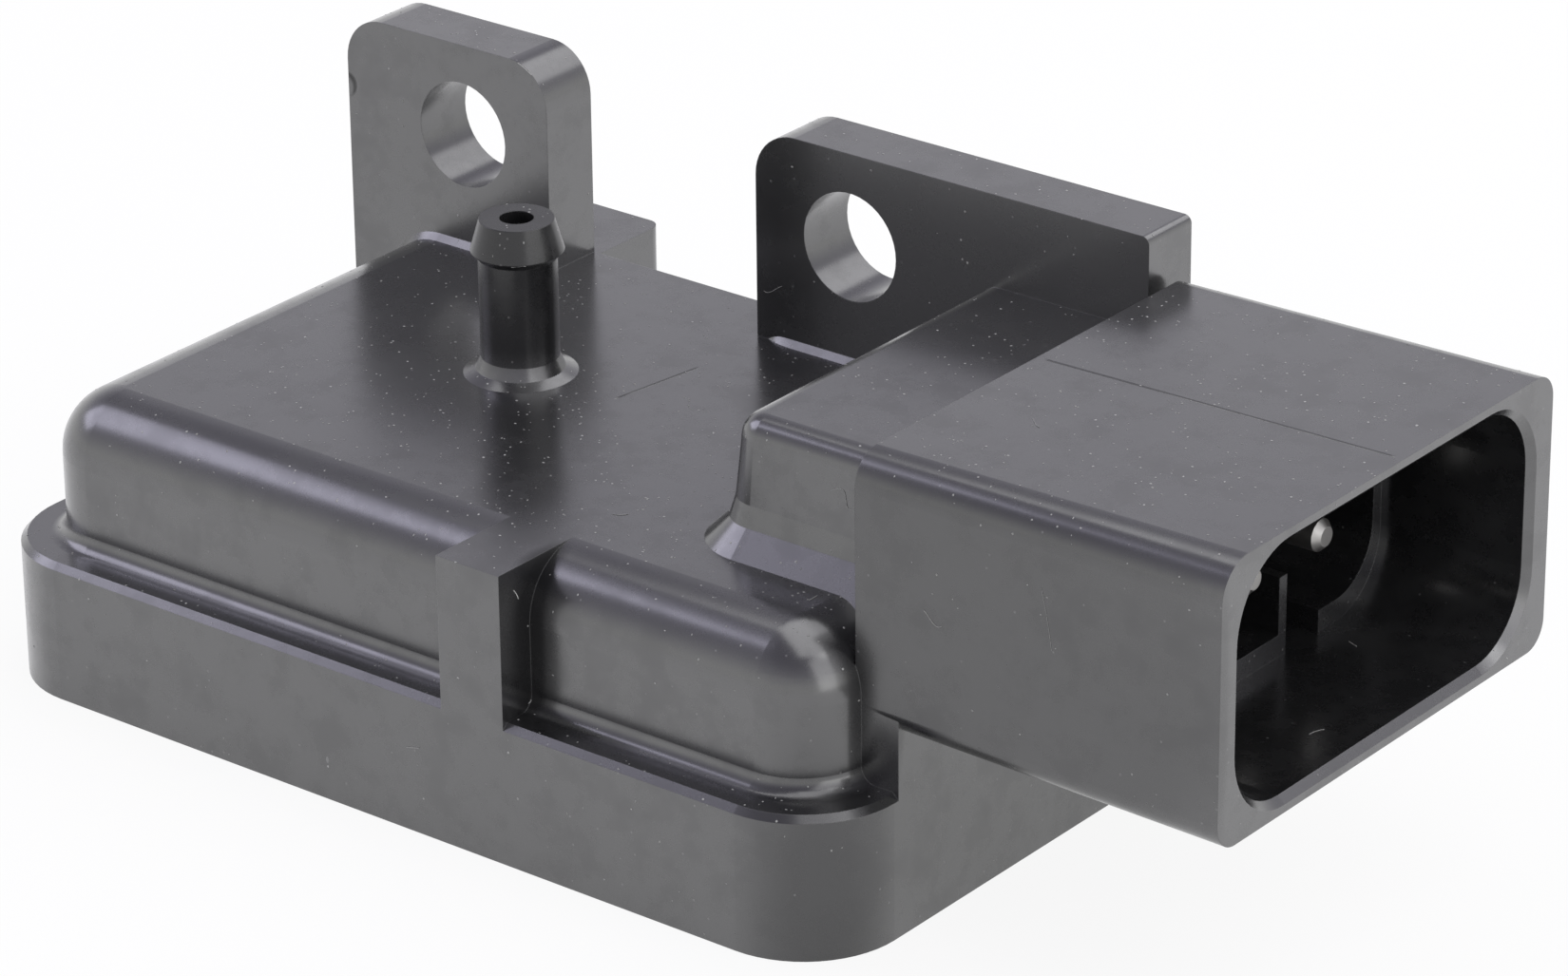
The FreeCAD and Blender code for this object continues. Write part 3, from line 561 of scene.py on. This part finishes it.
@dataclass(frozen=True)
class BoardLacquer(Finish):
    """Green lacquer over copper tracks that run along the board."""

    tint: Colour = (0.012, 0.11, 0.045)
    over_copper: Colour = (0.03, 0.19, 0.07)
    roughness: float = 0.28
    coat: float = 0.4
    track_pitch: float = 2.54 * MM
    track_rim: float = 0.35 * MM
    track_core: float = 0.25 * MM
    track_height: float = 0.02 * MM
    weave_per_mm: float = 1.4
    edge: float = 0.06 * MM

    def inputs(self, bench: Bench, place: Wire) -> dict[str, Wire | float]:
        """Lays tracks at an even pitch across the board, with the laminate's weave over them.

        Args:
            bench: The material's bench.
            place: The point on the object.

        Returns:
            The inputs by name.
        """
        fold = {0: bench.split(place)[1], 1: self.track_pitch / 2}
        wave = bench.add("ShaderNodeMath", {"operation": "PINGPONG"}, fold)["Value"]
        track = wave.ramp(self.track_rim, self.track_core)
        weave = bench.noise(place, self.weave_per_mm, 2.0)
        return {
            "Base Color": bench.blend(track, self.tint, self.over_copper),
            "Roughness": self.roughness + weave * 0.12,
            "Coat Weight": self.coat,
            "Normal": bench.bump(track + weave * 0.1, self.track_height, bench.edge_round(self.edge)),
        }


class Group(Enum):
    """The sub-assemblies that the sensor comes apart into."""

    CASE = "case"
    CONTACTS = "contacts"
    BOARD = "board"
    CELL = "cell"


@dataclass
class Assembly:
    """Nodes that belong together and the finish of each."""

    group: Group
    finishes: dict[str, Finish] = field(default_factory=dict)

    def dress(self, nodes: dict[str, bpy.types.Object]) -> None:
        """Gives each node of the assembly its finish.

        Args:
            nodes: The CAD nodes by name.
        """
        made: dict[str, bpy.types.Material] = {}
        for name, finish in self.finishes.items():
            if finish.name not in made:
                made[finish.name] = finish.material()
            dress(nodes[name], made[finish.name])
            LOG.info("%s: %s wears %s", self.group.value, name, finish.name)


@dataclass
class Case(Assembly):
    """Housing, closing plate and the sealing bead between them."""

    dome_top: float = 18.5 * MM
    shroud_top: float = 29.3 * MM
    nick_depth: float = 0.08 * MM

    def __post_init__(self) -> None:
        """Names the finishes of the case."""
        lines = (
            WitnessLine((-1.2 * MM, -0.1 * MM, self.dome_top), (-0.1 * MM, 6.8 * MM, self.dome_top)),
            WitnessLine((30.2 * MM, 0.6 * MM, self.shroud_top), (54.0 * MM, 0.6 * MM, self.shroud_top)),
        )
        # A real nick with painted shade in its hollow: a near-black tone and less coat, on top of its small
        # dent.
        ear_nick_and_shade = Mark(mm(-33.5, 12.7, 27.4), mm(0.9, 0.6, 0.95), (0.003, 0.003, 0.003),
                        self.nick_depth, mm(-33.8, 12.7, 27.2))
        tray_pit = Mark(mm(-4.4, -23.2, 2.6), mm(0.12, 0.3, 0.25), (0.2, 0.2, 0.2))
        mouth_scuff = Mark(mm(54.5, -7.4, 18.0), mm(0.3, 0.1, 1.0), (0.14, 0.14, 0.14))
        marks = (ear_nick_and_shade, tray_pit, mouth_scuff)
        # Painted shade: these patches take the coat down so that the nipple, the shroud's front, the tray's
        # corner and the post's side render darker, as they do in shade.
        nipple = PaintedShadePatch(mm(-8.5, -0.1, 24.8), mm(6.5, 6.5, 6.5), 0.95, 0.7)
        shroud_front = PaintedShadePatch(mm(40.0, -16.6, 21.0), mm(22.0, 1.2, 14.0), 0.32)
        tray_corner = PaintedShadePatch(mm(31.0, -21.5, 4.0), mm(6.0, 6.0, 16.0), 0.5, 0.2)
        post_side = PaintedShadePatch(mm(9.5, -19.5, 13.0), mm(1.3, 3.68, 8.5), 0.9)
        dull = (nipple, shroud_front, tray_corner, post_side)
        self.finishes = {
            "housing": Moulding("housing_plastic", lines=lines, marks=marks, dull=dull),
            "closing_plate": Moulding("plate_plastic", roughness=0.45),
            "plate_seal": Plain("sealing_compound", (0.03, 0.03, 0.033), 0.5, (0.05, 0.05, 0.053)),
        }


@dataclass
class Contacts(Assembly):
    """The three contact pins and their solder joints."""

    def __post_init__(self) -> None:
        """Names the finishes of the pins."""
        pin = Plating("tinned_brass")
        self.finishes = {name: pin for name in ("terminal_supply", "terminal_signal", "terminal_ground")}
        self.finishes["solder_joints"] = Plating("solder", (0.66, 0.66, 0.65), 0.3, (1.0, 1.0, 1.0))


@dataclass
class Board(Assembly):
    """The circuit board and the small parts soldered to it."""

    def __post_init__(self) -> None:
        """Names the finishes of the board and its parts."""
        chip = Plain("chip_plastic", (0.018, 0.018, 0.019), 0.5, (0.026, 0.026, 0.027))
        leads = Plating("tinned_leads", (0.64, 0.63, 0.6), 0.34)
        capacitor = Plain("capacitor_ceramic", (0.36, 0.25, 0.15), 0.55, (0.42, 0.3, 0.19))
        resistor = Plain("resistor_ceramic", (0.05, 0.05, 0.06), 0.4, (0.08, 0.08, 0.09))
        self.finishes = {
            "circuit_board": BoardLacquer("board_laminate"),
            "amplifier_chip": chip,
            "regulator_chip": chip,
            "amplifier_leads": leads,
            "regulator_leads": leads,
            "supply_capacitor": capacitor,
            "signal_capacitor": capacitor,
            "ground_capacitor": capacitor,
            "trim_resistors": resistor,
            "bridge_resistors": resistor,
        }


@dataclass
class Cell(Assembly):
    """The pressure cell with its die, and the ring that seals it to the nipple."""

    def __post_init__(self) -> None:
        """Names the finishes of the cell."""
        body = Plain("cell_plastic", (0.05, 0.05, 0.053), 0.48, (0.07, 0.07, 0.073))
        self.finishes = {
            "cell_body": body,
            "cell_cap": body,
            "cell_leads": Plating("cell_tin", (0.64, 0.63, 0.6), 0.34),
            "cell_pedestal": Plain("pedestal_glass", (0.85, 0.92, 0.9), 0.08, (0.8, 0.9, 0.88), clear=1.0),
            "sensing_die": Plain("silicon", (0.3, 0.31, 0.34), 0.12, (0.33, 0.34, 0.37), metallic=0.9),
            "port_seal": Plain("seal_rubber", (0.02, 0.02, 0.02), 0.6, (0.03, 0.03, 0.03)),
        }


@dataclass(frozen=True)
class Fibre:
    """A thin bent fibre that lies on the surface."""

    points: tuple[Point, ...]
    radius: float = 0.016 * MM


@dataclass
class Lint:
    """Loose fibres and crumbs that cling to the housing."""

    fibres: tuple[Fibre, ...] = (
        Fibre(((24.21, -11.6, 23.66), (24.82, -11.6, 24.07), (25.23, -11.6, 23.89), (25.29, -11.6, 23.02),
               (25.49, -11.6, 22.84), (25.96, -11.6, 22.97))),
        Fibre(((0.25, 12.7, 21.61), (0.7, 12.7, 21.41), (1.0, 12.7, 21.92), (1.67, 12.7, 22.28))),
        Fibre(((34.68, -6.6, 29.2), (35.37, -7.37, 29.2), (35.74, -7.42, 29.2))),
        Fibre(((42.59, -16.5, 24.84), (43.05, -16.5, 23.15), (43.32, -16.5, 21.28)), 0.012 * MM),
        Fibre(((34.54, -16.5, 21.13), (35.06, -16.5, 20.7), (35.33, -16.5, 20.14), (35.78, -16.5, 20.51))),
        Fibre(((9.23, -12.79, 18.5), (9.75, -12.72, 18.5), (9.94, -12.26, 18.5))),
        Fibre(((25.37, -15.06, 18.5), (25.37, -14.28, 18.5)), 0.02 * MM),
        Fibre(((-7.03, -2.4, 26.47), (-6.06, -2.4, 26.66), (-5.55, -2.4, 26.35), (-5.78, -2.4, 25.99))),
        Fibre(((46.6, 7.84, 14.3), (47.29, 7.58, 14.3)), 0.022 * MM),
        Fibre(((51.33, -3.25, 14.3), (51.36, -2.64, 14.3), (51.67, -2.25, 14.3))),
        Fibre(((54.3, 11.25, 13.73), (54.3, 12.22, 12.81)), 0.025 * MM),
        Fibre(((1.93, -23.2, 5.39), (2.9, -23.2, 5.63)), 0.02 * MM),
        Fibre(((9.4, -21.94, 17.17), (9.4, -21.7, 16.9), (9.4, -21.55, 16.49)), 0.03 * MM),
        Fibre(((9.4, -20.91, 9.58), (9.4, -20.5, 9.4), (9.4, -20.15, 9.52)), 0.025 * MM),
        Fibre(((-19.13, 12.7, 32.09), (-18.52, 12.7, 32.04), (-17.91, 12.7, 31.68)), 0.025 * MM),
    )

    def build(self, ground: bpy.types.Object) -> bpy.types.Object:
        """Makes the fibres as curves that lie on the ground and turns them into one mesh.

        Args:
            ground: The object that the fibres lie on.

        Returns:
            The mesh object.
        """
        data = bpy.data.curves.new("lint", "CURVE")
        data.dimensions = "3D"
        data.bevel_depth = 1.0
        data.bevel_resolution = 1
        data.resolution_u = 6
        data.use_fill_caps = True
        for fibre in self.fibres:
            spline = data.splines.new("NURBS")
            spline.points.add(len(fibre.points) - 1)
            spline.use_endpoint_u = True
            spline.order_u = min(4, len(fibre.points))
            for knot, point in zip(spline.points, fibre.points):
                _, spot, up, _ = ground.closest_point_on_mesh(Vector(point) * MM)
                knot.co = (*(spot + up * fibre.radius), 1.0)
                knot.radius = fibre.radius
        return settle(bpy.data.objects.new("lint_curves", data), "lint")


@dataclass
class Dust:
    """Flat specks strewn in drifts over the faces with open sky above them."""

    per_square_metre: float = 420000.0
    largest: float = 0.10 * MM
    smallest: float = 0.025 * MM
    thickest_at: Point = mm(12.0, 0.0, 21.0)
    thick_within: float = 5 * MM
    thin_beyond: float = 40 * MM
    thick_share: float = 1.6
    thin_share: float = 0.8
    drifts_per_mm: float = 0.16
    drift_band: Band = (0.4, 0.7)
    drift_low: float = 0.25
    drift_high: float = 2.5
    slope_low: float = -0.15
    slope_high: float = 1.2
    lowest: float = 0.3 * MM
    probe_lift: float = 0.2 * MM
    seed: int = 7

    def inputs(self, group: bpy.types.NodeTree) -> None:
        """Gives the node group its named inputs and its output.

        Args:
            group: The node group.
        """
        inputs = {
            "Geometry": "NodeSocketGeometry",
            "Density": "NodeSocketFloat",
            "Smallest": "NodeSocketFloat",
            "Largest": "NodeSocketFloat",
            "Thickest at": "NodeSocketVector",
            "Seed": "NodeSocketInt",
        }
        for name, kind in inputs.items():
            group.interface.new_socket(name, in_out="INPUT", socket_type=kind)
        group.interface.new_socket("Geometry", in_out="OUTPUT", socket_type="NodeSocketGeometry")

    def density(self, bench: Bench, entry: Outputs) -> Wire:
        """Specks in a square metre: in drifts, and thickest near one point.

        Args:
            bench: The node group's bench.
            entry: The group's inputs.

        Returns:
            The density.
        """
        noise = bench.add("ShaderNodeTexNoise", None, {"Scale": self.drifts_per_mm / MM, "Detail": 2.0})
        drift = noise["Fac"].remap(*self.drift_band, self.drift_low, self.drift_high)
        here = bench.add("GeometryNodeInputPosition")["Position"]
        away = bench.vector("DISTANCE", here, entry["Thickest at"])["Value"]
        near = away.remap(self.thick_within, self.thin_beyond, self.thick_share, self.thin_share)
        return drift * near * entry["Density"]

    def is_less(self, bench: Bench, value: Wire, limit: Wire | float) -> Wire:
        """Whether a value is under a limit."""
        settings = {"data_type": "FLOAT", "operation": "LESS_THAN"}
        return bench.add("FunctionNodeCompare", settings, {0: value, 1: limit})["Result"]

    def is_either(self, bench: Bench, first: Wire, second: Wire) -> Wire:
        """Whether one of two things holds."""
        return bench.add("FunctionNodeBooleanMath", {"operation": "OR"}, {0: first, 1: second})["Boolean"]

    def bare(self, bench: Bench, entry: Outputs, normal: Wire) -> Wire:
        """Where no speck stays: under a roof, near the floor and by chance, more so on steep faces.

        Args:
            bench: The node group's bench.
            entry: The group's inputs.
            normal: The face's normal at the speck.

        Returns:
            Whether the speck goes.
        """
        spot = bench.add("GeometryNodeInputPosition")["Position"]
        raised = {0: normal, "Scale": self.probe_lift}
        lift = bench.add("ShaderNodeVectorMath", {"operation": "SCALE"}, raised)["Vector"]
        probe = {
            "Target Geometry": entry["Geometry"],
            "Source Position": bench.vector("ADD", spot, lift)["Vector"],
            "Ray Direction": (0.0, 0.0, 1.0),
            "Ray Length": 1.0,
        }
        roofed = bench.add("GeometryNodeRaycast", None, probe)["Is Hit"]
        limits = {2: self.slope_low, 3: self.slope_high, "Seed": entry["Seed"]}
        chance = bench.add("FunctionNodeRandomValue", {"data_type": "FLOAT"}, limits)[1]
        steep = self.is_less(bench, bench.split(normal)[2], chance)
        low = self.is_less(bench, bench.split(spot)[2], self.lowest)
        return self.is_either(bench, roofed, self.is_either(bench, low, steep))

    def tree(self, material: bpy.types.Material) -> bpy.types.NodeTree:
        """Builds the node group that strews the specks.

        Args:
            material: The specks' finish.

        Returns:
            The node group.
        """
        group = bpy.data.node_groups.new("strew_dust", "GeometryNodeTree")
        self.inputs(group)
        bench = Bench(group)
        entry = bench.add("NodeGroupInput")
        spread = {"Mesh": entry["Geometry"], "Density": self.density(bench, entry), "Seed": entry["Seed"]}
        strewn = bench.add("GeometryNodeDistributePointsOnFaces", None, spread)
        lost = {"Geometry": strewn["Points"], "Selection": self.bare(bench, entry, strewn["Normal"])}
        kept = bench.add("GeometryNodeDeleteGeometry", {"domain": "POINT"}, lost)["Geometry"]
        ball = bench.add("GeometryNodeMeshIcoSphere", None, {"Radius": 1.0, "Subdivisions": 1})["Mesh"]
        small, large = entry["Smallest"], entry["Largest"]
        least = bench.add("ShaderNodeCombineXYZ", None, {"X": small, "Y": small, "Z": small})["Vector"]
        most = bench.add("ShaderNodeCombineXYZ", None, {"X": large, "Y": large, "Z": small})["Vector"]
        limits = {0: least, 1: most, "Seed": entry["Seed"]}
        scale = bench.add("FunctionNodeRandomValue", {"data_type": "FLOAT_VECTOR"}, limits)[0]
        copies = {"Points": kept, "Instance": ball, "Rotation": strewn["Rotation"], "Scale": scale}
        placed = bench.add("GeometryNodeInstanceOnPoints", None, copies)["Instances"]
        real = bench.add("GeometryNodeRealizeInstances", None, {"Geometry": placed})["Geometry"]
        worn = bench.add("GeometryNodeSetMaterial", None, {"Geometry": real, "Material": material})
        bench.add("NodeGroupOutput", None, {"Geometry": worn["Geometry"]})
        return group

    def build(self, ground: bpy.types.Object, material: bpy.types.Material) -> bpy.types.Object:
        """Strews the specks over a copy of the ground and keeps the specks alone.

        Args:
            ground: The object that the dust lies on.
            material: The specks' finish.

        Returns:
            The mesh object.
        """
        carrier = bpy.data.objects.new("dust_carrier", ground.data.copy())
        strew = carrier.modifiers.new("strew", "NODES")
        strew.node_group = self.tree(material)
        values = {"Density": self.per_square_metre, "Smallest": self.smallest, "Largest": self.largest,
                  "Thickest at": self.thickest_at, "Seed": self.seed}
        for item in strew.node_group.interface.items_tree:
            if item.in_out == "INPUT" and item.name in values:
                strew[item.identifier] = values[item.name]
        return settle(carrier, "dust")


def settle(source: bpy.types.Object, name: str) -> bpy.types.Object:
    """Turns a curve or a modified object into a plain mesh object of its own.

    Args:
        source: The object to read; it is removed.
        name: The new object's name.

    Returns:
        The mesh object, linked to the scene.
    """
    bpy.context.scene.collection.objects.link(source)
    bpy.context.view_layer.update()
    mesh = bpy.data.meshes.new_from_object(source.evaluated_get(bpy.context.evaluated_depsgraph_get()))
    bpy.data.objects.remove(source)
    piece = bpy.data.objects.new(name, mesh)
    bpy.context.scene.collection.objects.link(piece)
    return piece


@dataclass
class Grime:
    """All that lies loose on the sensor and rides with it."""

    dust: Dust = field(default_factory=Dust)
    lint: Lint = field(default_factory=Lint)

    def build(self, housing: bpy.types.Object) -> None:
        """Lays dust and lint on the housing.

        Args:
            housing: The housing's CAD node.
        """
        powder = Plain("dust_grey", (0.28, 0.28, 0.27), 0.9, (0.45, 0.45, 0.44)).material()
        thread = Plain("lint_grey", (0.38, 0.38, 0.37), 0.8, (0.5, 0.5, 0.48)).material()
        lint = self.lint.build(housing)
        dress(lint, thread)
        for piece in (self.dust.build(housing, powder), lint):
            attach(piece, ROOT)
            LOG.info("grime: %s has %d faces", piece.name, len(piece.data.polygons))


@dataclass(frozen=True)
class Lamp:
    """A square soft lamp that faces the object; place and side are in metres, power in watts."""

    name: str
    place: Point
    side: float
    power: float
    colour: Colour = WHITE

    def build(self) -> None:
        """Hangs the lamp."""
        data = bpy.data.lights.new(self.name, "AREA")
        data.color = self.colour
        data.shape = "SQUARE"
        data.size = self.side
        data.energy = self.power
        lamp = bpy.data.objects.new(self.name, data)
        lamp.location = self.place
        lamp.rotation_euler = (-Vector(self.place)).to_track_quat("-Z", "Y").to_euler()
        bpy.context.scene.collection.objects.link(lamp)


@dataclass
class Studio:
    """Pale floor, soft light and the camera at the photograph's angle."""

    floor_size: float = 3.0
    floor_gap: float = 0.02 * MM
    floor_tone: float = 0.86
    floor_shown: float = 0.9
    floor_mirrored: float = 0.65
    side_light: float = 0.75
    zenith_share: float = 0.35
    zenith_reached: float = 0.8
    zenith_hue: Colour = (0.85, 0.82, 1.0)
    lamps: tuple[Lamp, ...] = (
        Lamp("lamp_above", (0.15, 0.25, 0.75), 1.2, 6.0),
        Lamp("lamp_left", (-0.6, -0.2, 0.5), 0.4, 1.1, (0.84, 0.82, 1.0)),
        Lamp("lamp_right", (0.7, 0.0, 0.35), 0.8, 2.2),
    )
    azimuth: float = 38.486
    elevation: float = 24.623
    roll: float = -0.624
    focal_px: float = 6774.0
    image_width: int = 1650
    image_height: int = 1027
    principal: tuple[float, float] = (819.2, 507.3)
    sensor_width: float = 36.0
    aim: Point = (-48.77, 11.62, 396.16)
    corner_to_origin: Point = (32.7, 23.2, 0.0)
    clip: tuple[float, float] = (0.02, 20.0)

    def camera(self) -> None:
        """Makes the camera from its solved angles, focal length and the object's place before it."""
        az, el, roll = (math.radians(angle) for angle in (self.azimuth, self.elevation, self.roll))
        back = Vector((math.sin(az) * math.cos(el), -math.cos(az) * math.cos(el), math.sin(el)))
        level_right = (-back).cross(Vector((0, 0, 1))).normalized()
        level_up = level_right.cross(-back)
        right = math.cos(roll) * level_right + math.sin(roll) * level_up
        up = -math.sin(roll) * level_right + math.cos(roll) * level_up
        turn = Matrix((right, up, back)).transposed()
        across, down, depth = self.aim
        corner = -(right * across - up * down - back * depth)
        place = (corner - Vector(self.corner_to_origin)) * MM
        data = bpy.data.cameras.new("camera")
        data.sensor_width = self.sensor_width
        data.lens = self.focal_px / self.image_width * self.sensor_width
        data.shift_x = (self.image_width / 2 - self.principal[0]) / self.image_width
        data.shift_y = (self.principal[1] - self.image_height / 2) / self.image_width
        data.clip_start, data.clip_end = self.clip
        camera = bpy.data.objects.new("camera", data)
        camera.matrix_world = Matrix.Translation(place) @ turn.to_4x4()
        bpy.context.scene.collection.objects.link(camera)
        bpy.context.scene.camera = camera

    def floor(self) -> None:
        """A white floor that keeps a soft shadow, shows as white paper and is clear from below."""
        half = self.floor_size / 2
        outline = ((-half, -half), (half, -half), (half, half), (-half, half))
        mesh = bpy.data.meshes.new("floor")
        mesh.from_pydata([(x, y, -self.floor_gap) for x, y in outline], [], [(0, 1, 2, 3)])
        floor = bpy.data.objects.new("floor", mesh)
        bpy.context.scene.collection.objects.link(floor)
        material, bench = new_material("floor_paper")
        tone = (self.floor_tone, self.floor_tone, self.floor_tone, 1.0)
        paper = bench.add("ShaderNodeBsdfDiffuse", None, {"Color": tone})["BSDF"]
        white = {"Color": (*WHITE, 1.0), "Strength": 1.0}
        glow = bench.add("ShaderNodeEmission", None, white)["Emission"]
        rays = bench.add("ShaderNodeLightPath")
        mirrored = rays["Is Glossy Ray"].most(rays["Is Reflection Ray"])
        seen = (rays["Is Camera Ray"] * self.floor_shown).most(mirrored * self.floor_mirrored)
        mixed = bench.add("ShaderNodeMixShader", None, {0: seen, 1: paper, 2: glow})["Shader"]
        clear = bench.add("ShaderNodeBsdfTransparent")["BSDF"]
        from_below = bench.add("ShaderNodeNewGeometry")["Backfacing"]
        shown = bench.add("ShaderNodeMixShader", None, {0: from_below, 1: mixed, 2: clear})["Shader"]
        bench.add("ShaderNodeOutputMaterial", None, {"Surface": shown})
        dress(floor, material)

    def world(self) -> None:
        """A pale surround, white to the camera and at the sides, and dimmer overhead."""
        world = bpy.data.worlds.new("surround")
        bpy.context.scene.world = world
        world.use_nodes = True
        bench = Bench(world.node_tree)
        rays = bench.add("ShaderNodeLightPath")
        seen = rays["Is Camera Ray"].most(rays["Is Glossy Ray"]).most(rays["Is Reflection Ray"])
        height = bench.split(bench.add("ShaderNodeTexCoord")["Generated"])[2]
        overhead = height.ramp(0.0, self.zenith_reached) * (1.0 - rays["Is Camera Ray"])
        level = seen * (1.0 - self.side_light) + self.side_light
        level = level * (1.0 - overhead * (1.0 - self.zenith_share))
        hue = bench.blend(overhead, WHITE, self.zenith_hue)
        glow = bench.add("ShaderNodeBackground", None, {"Color": hue, "Strength": level})["Background"]
        bench.add("ShaderNodeOutputWorld", None, {"Surface": glow})

    def build(self) -> None:
        """Sets up floor, surround, lamps, camera and view."""
        self.floor()
        self.world()
        for lamp in self.lamps:
            lamp.build()
        self.camera()
        bpy.context.scene.view_settings.view_transform = "Standard"


def main() -> None:
    """Loads the frame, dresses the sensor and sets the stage."""
    logging.basicConfig(level=logging.INFO)
    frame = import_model()
    for assembly in (Case(Group.CASE), Contacts(Group.CONTACTS), Board(Group.BOARD), Cell(Group.CELL)):
        assembly.dress(frame["nodes"])
    Grime().build(frame["nodes"]["housing"])
    Studio().build()


if __name__ == "__main__":
    main()
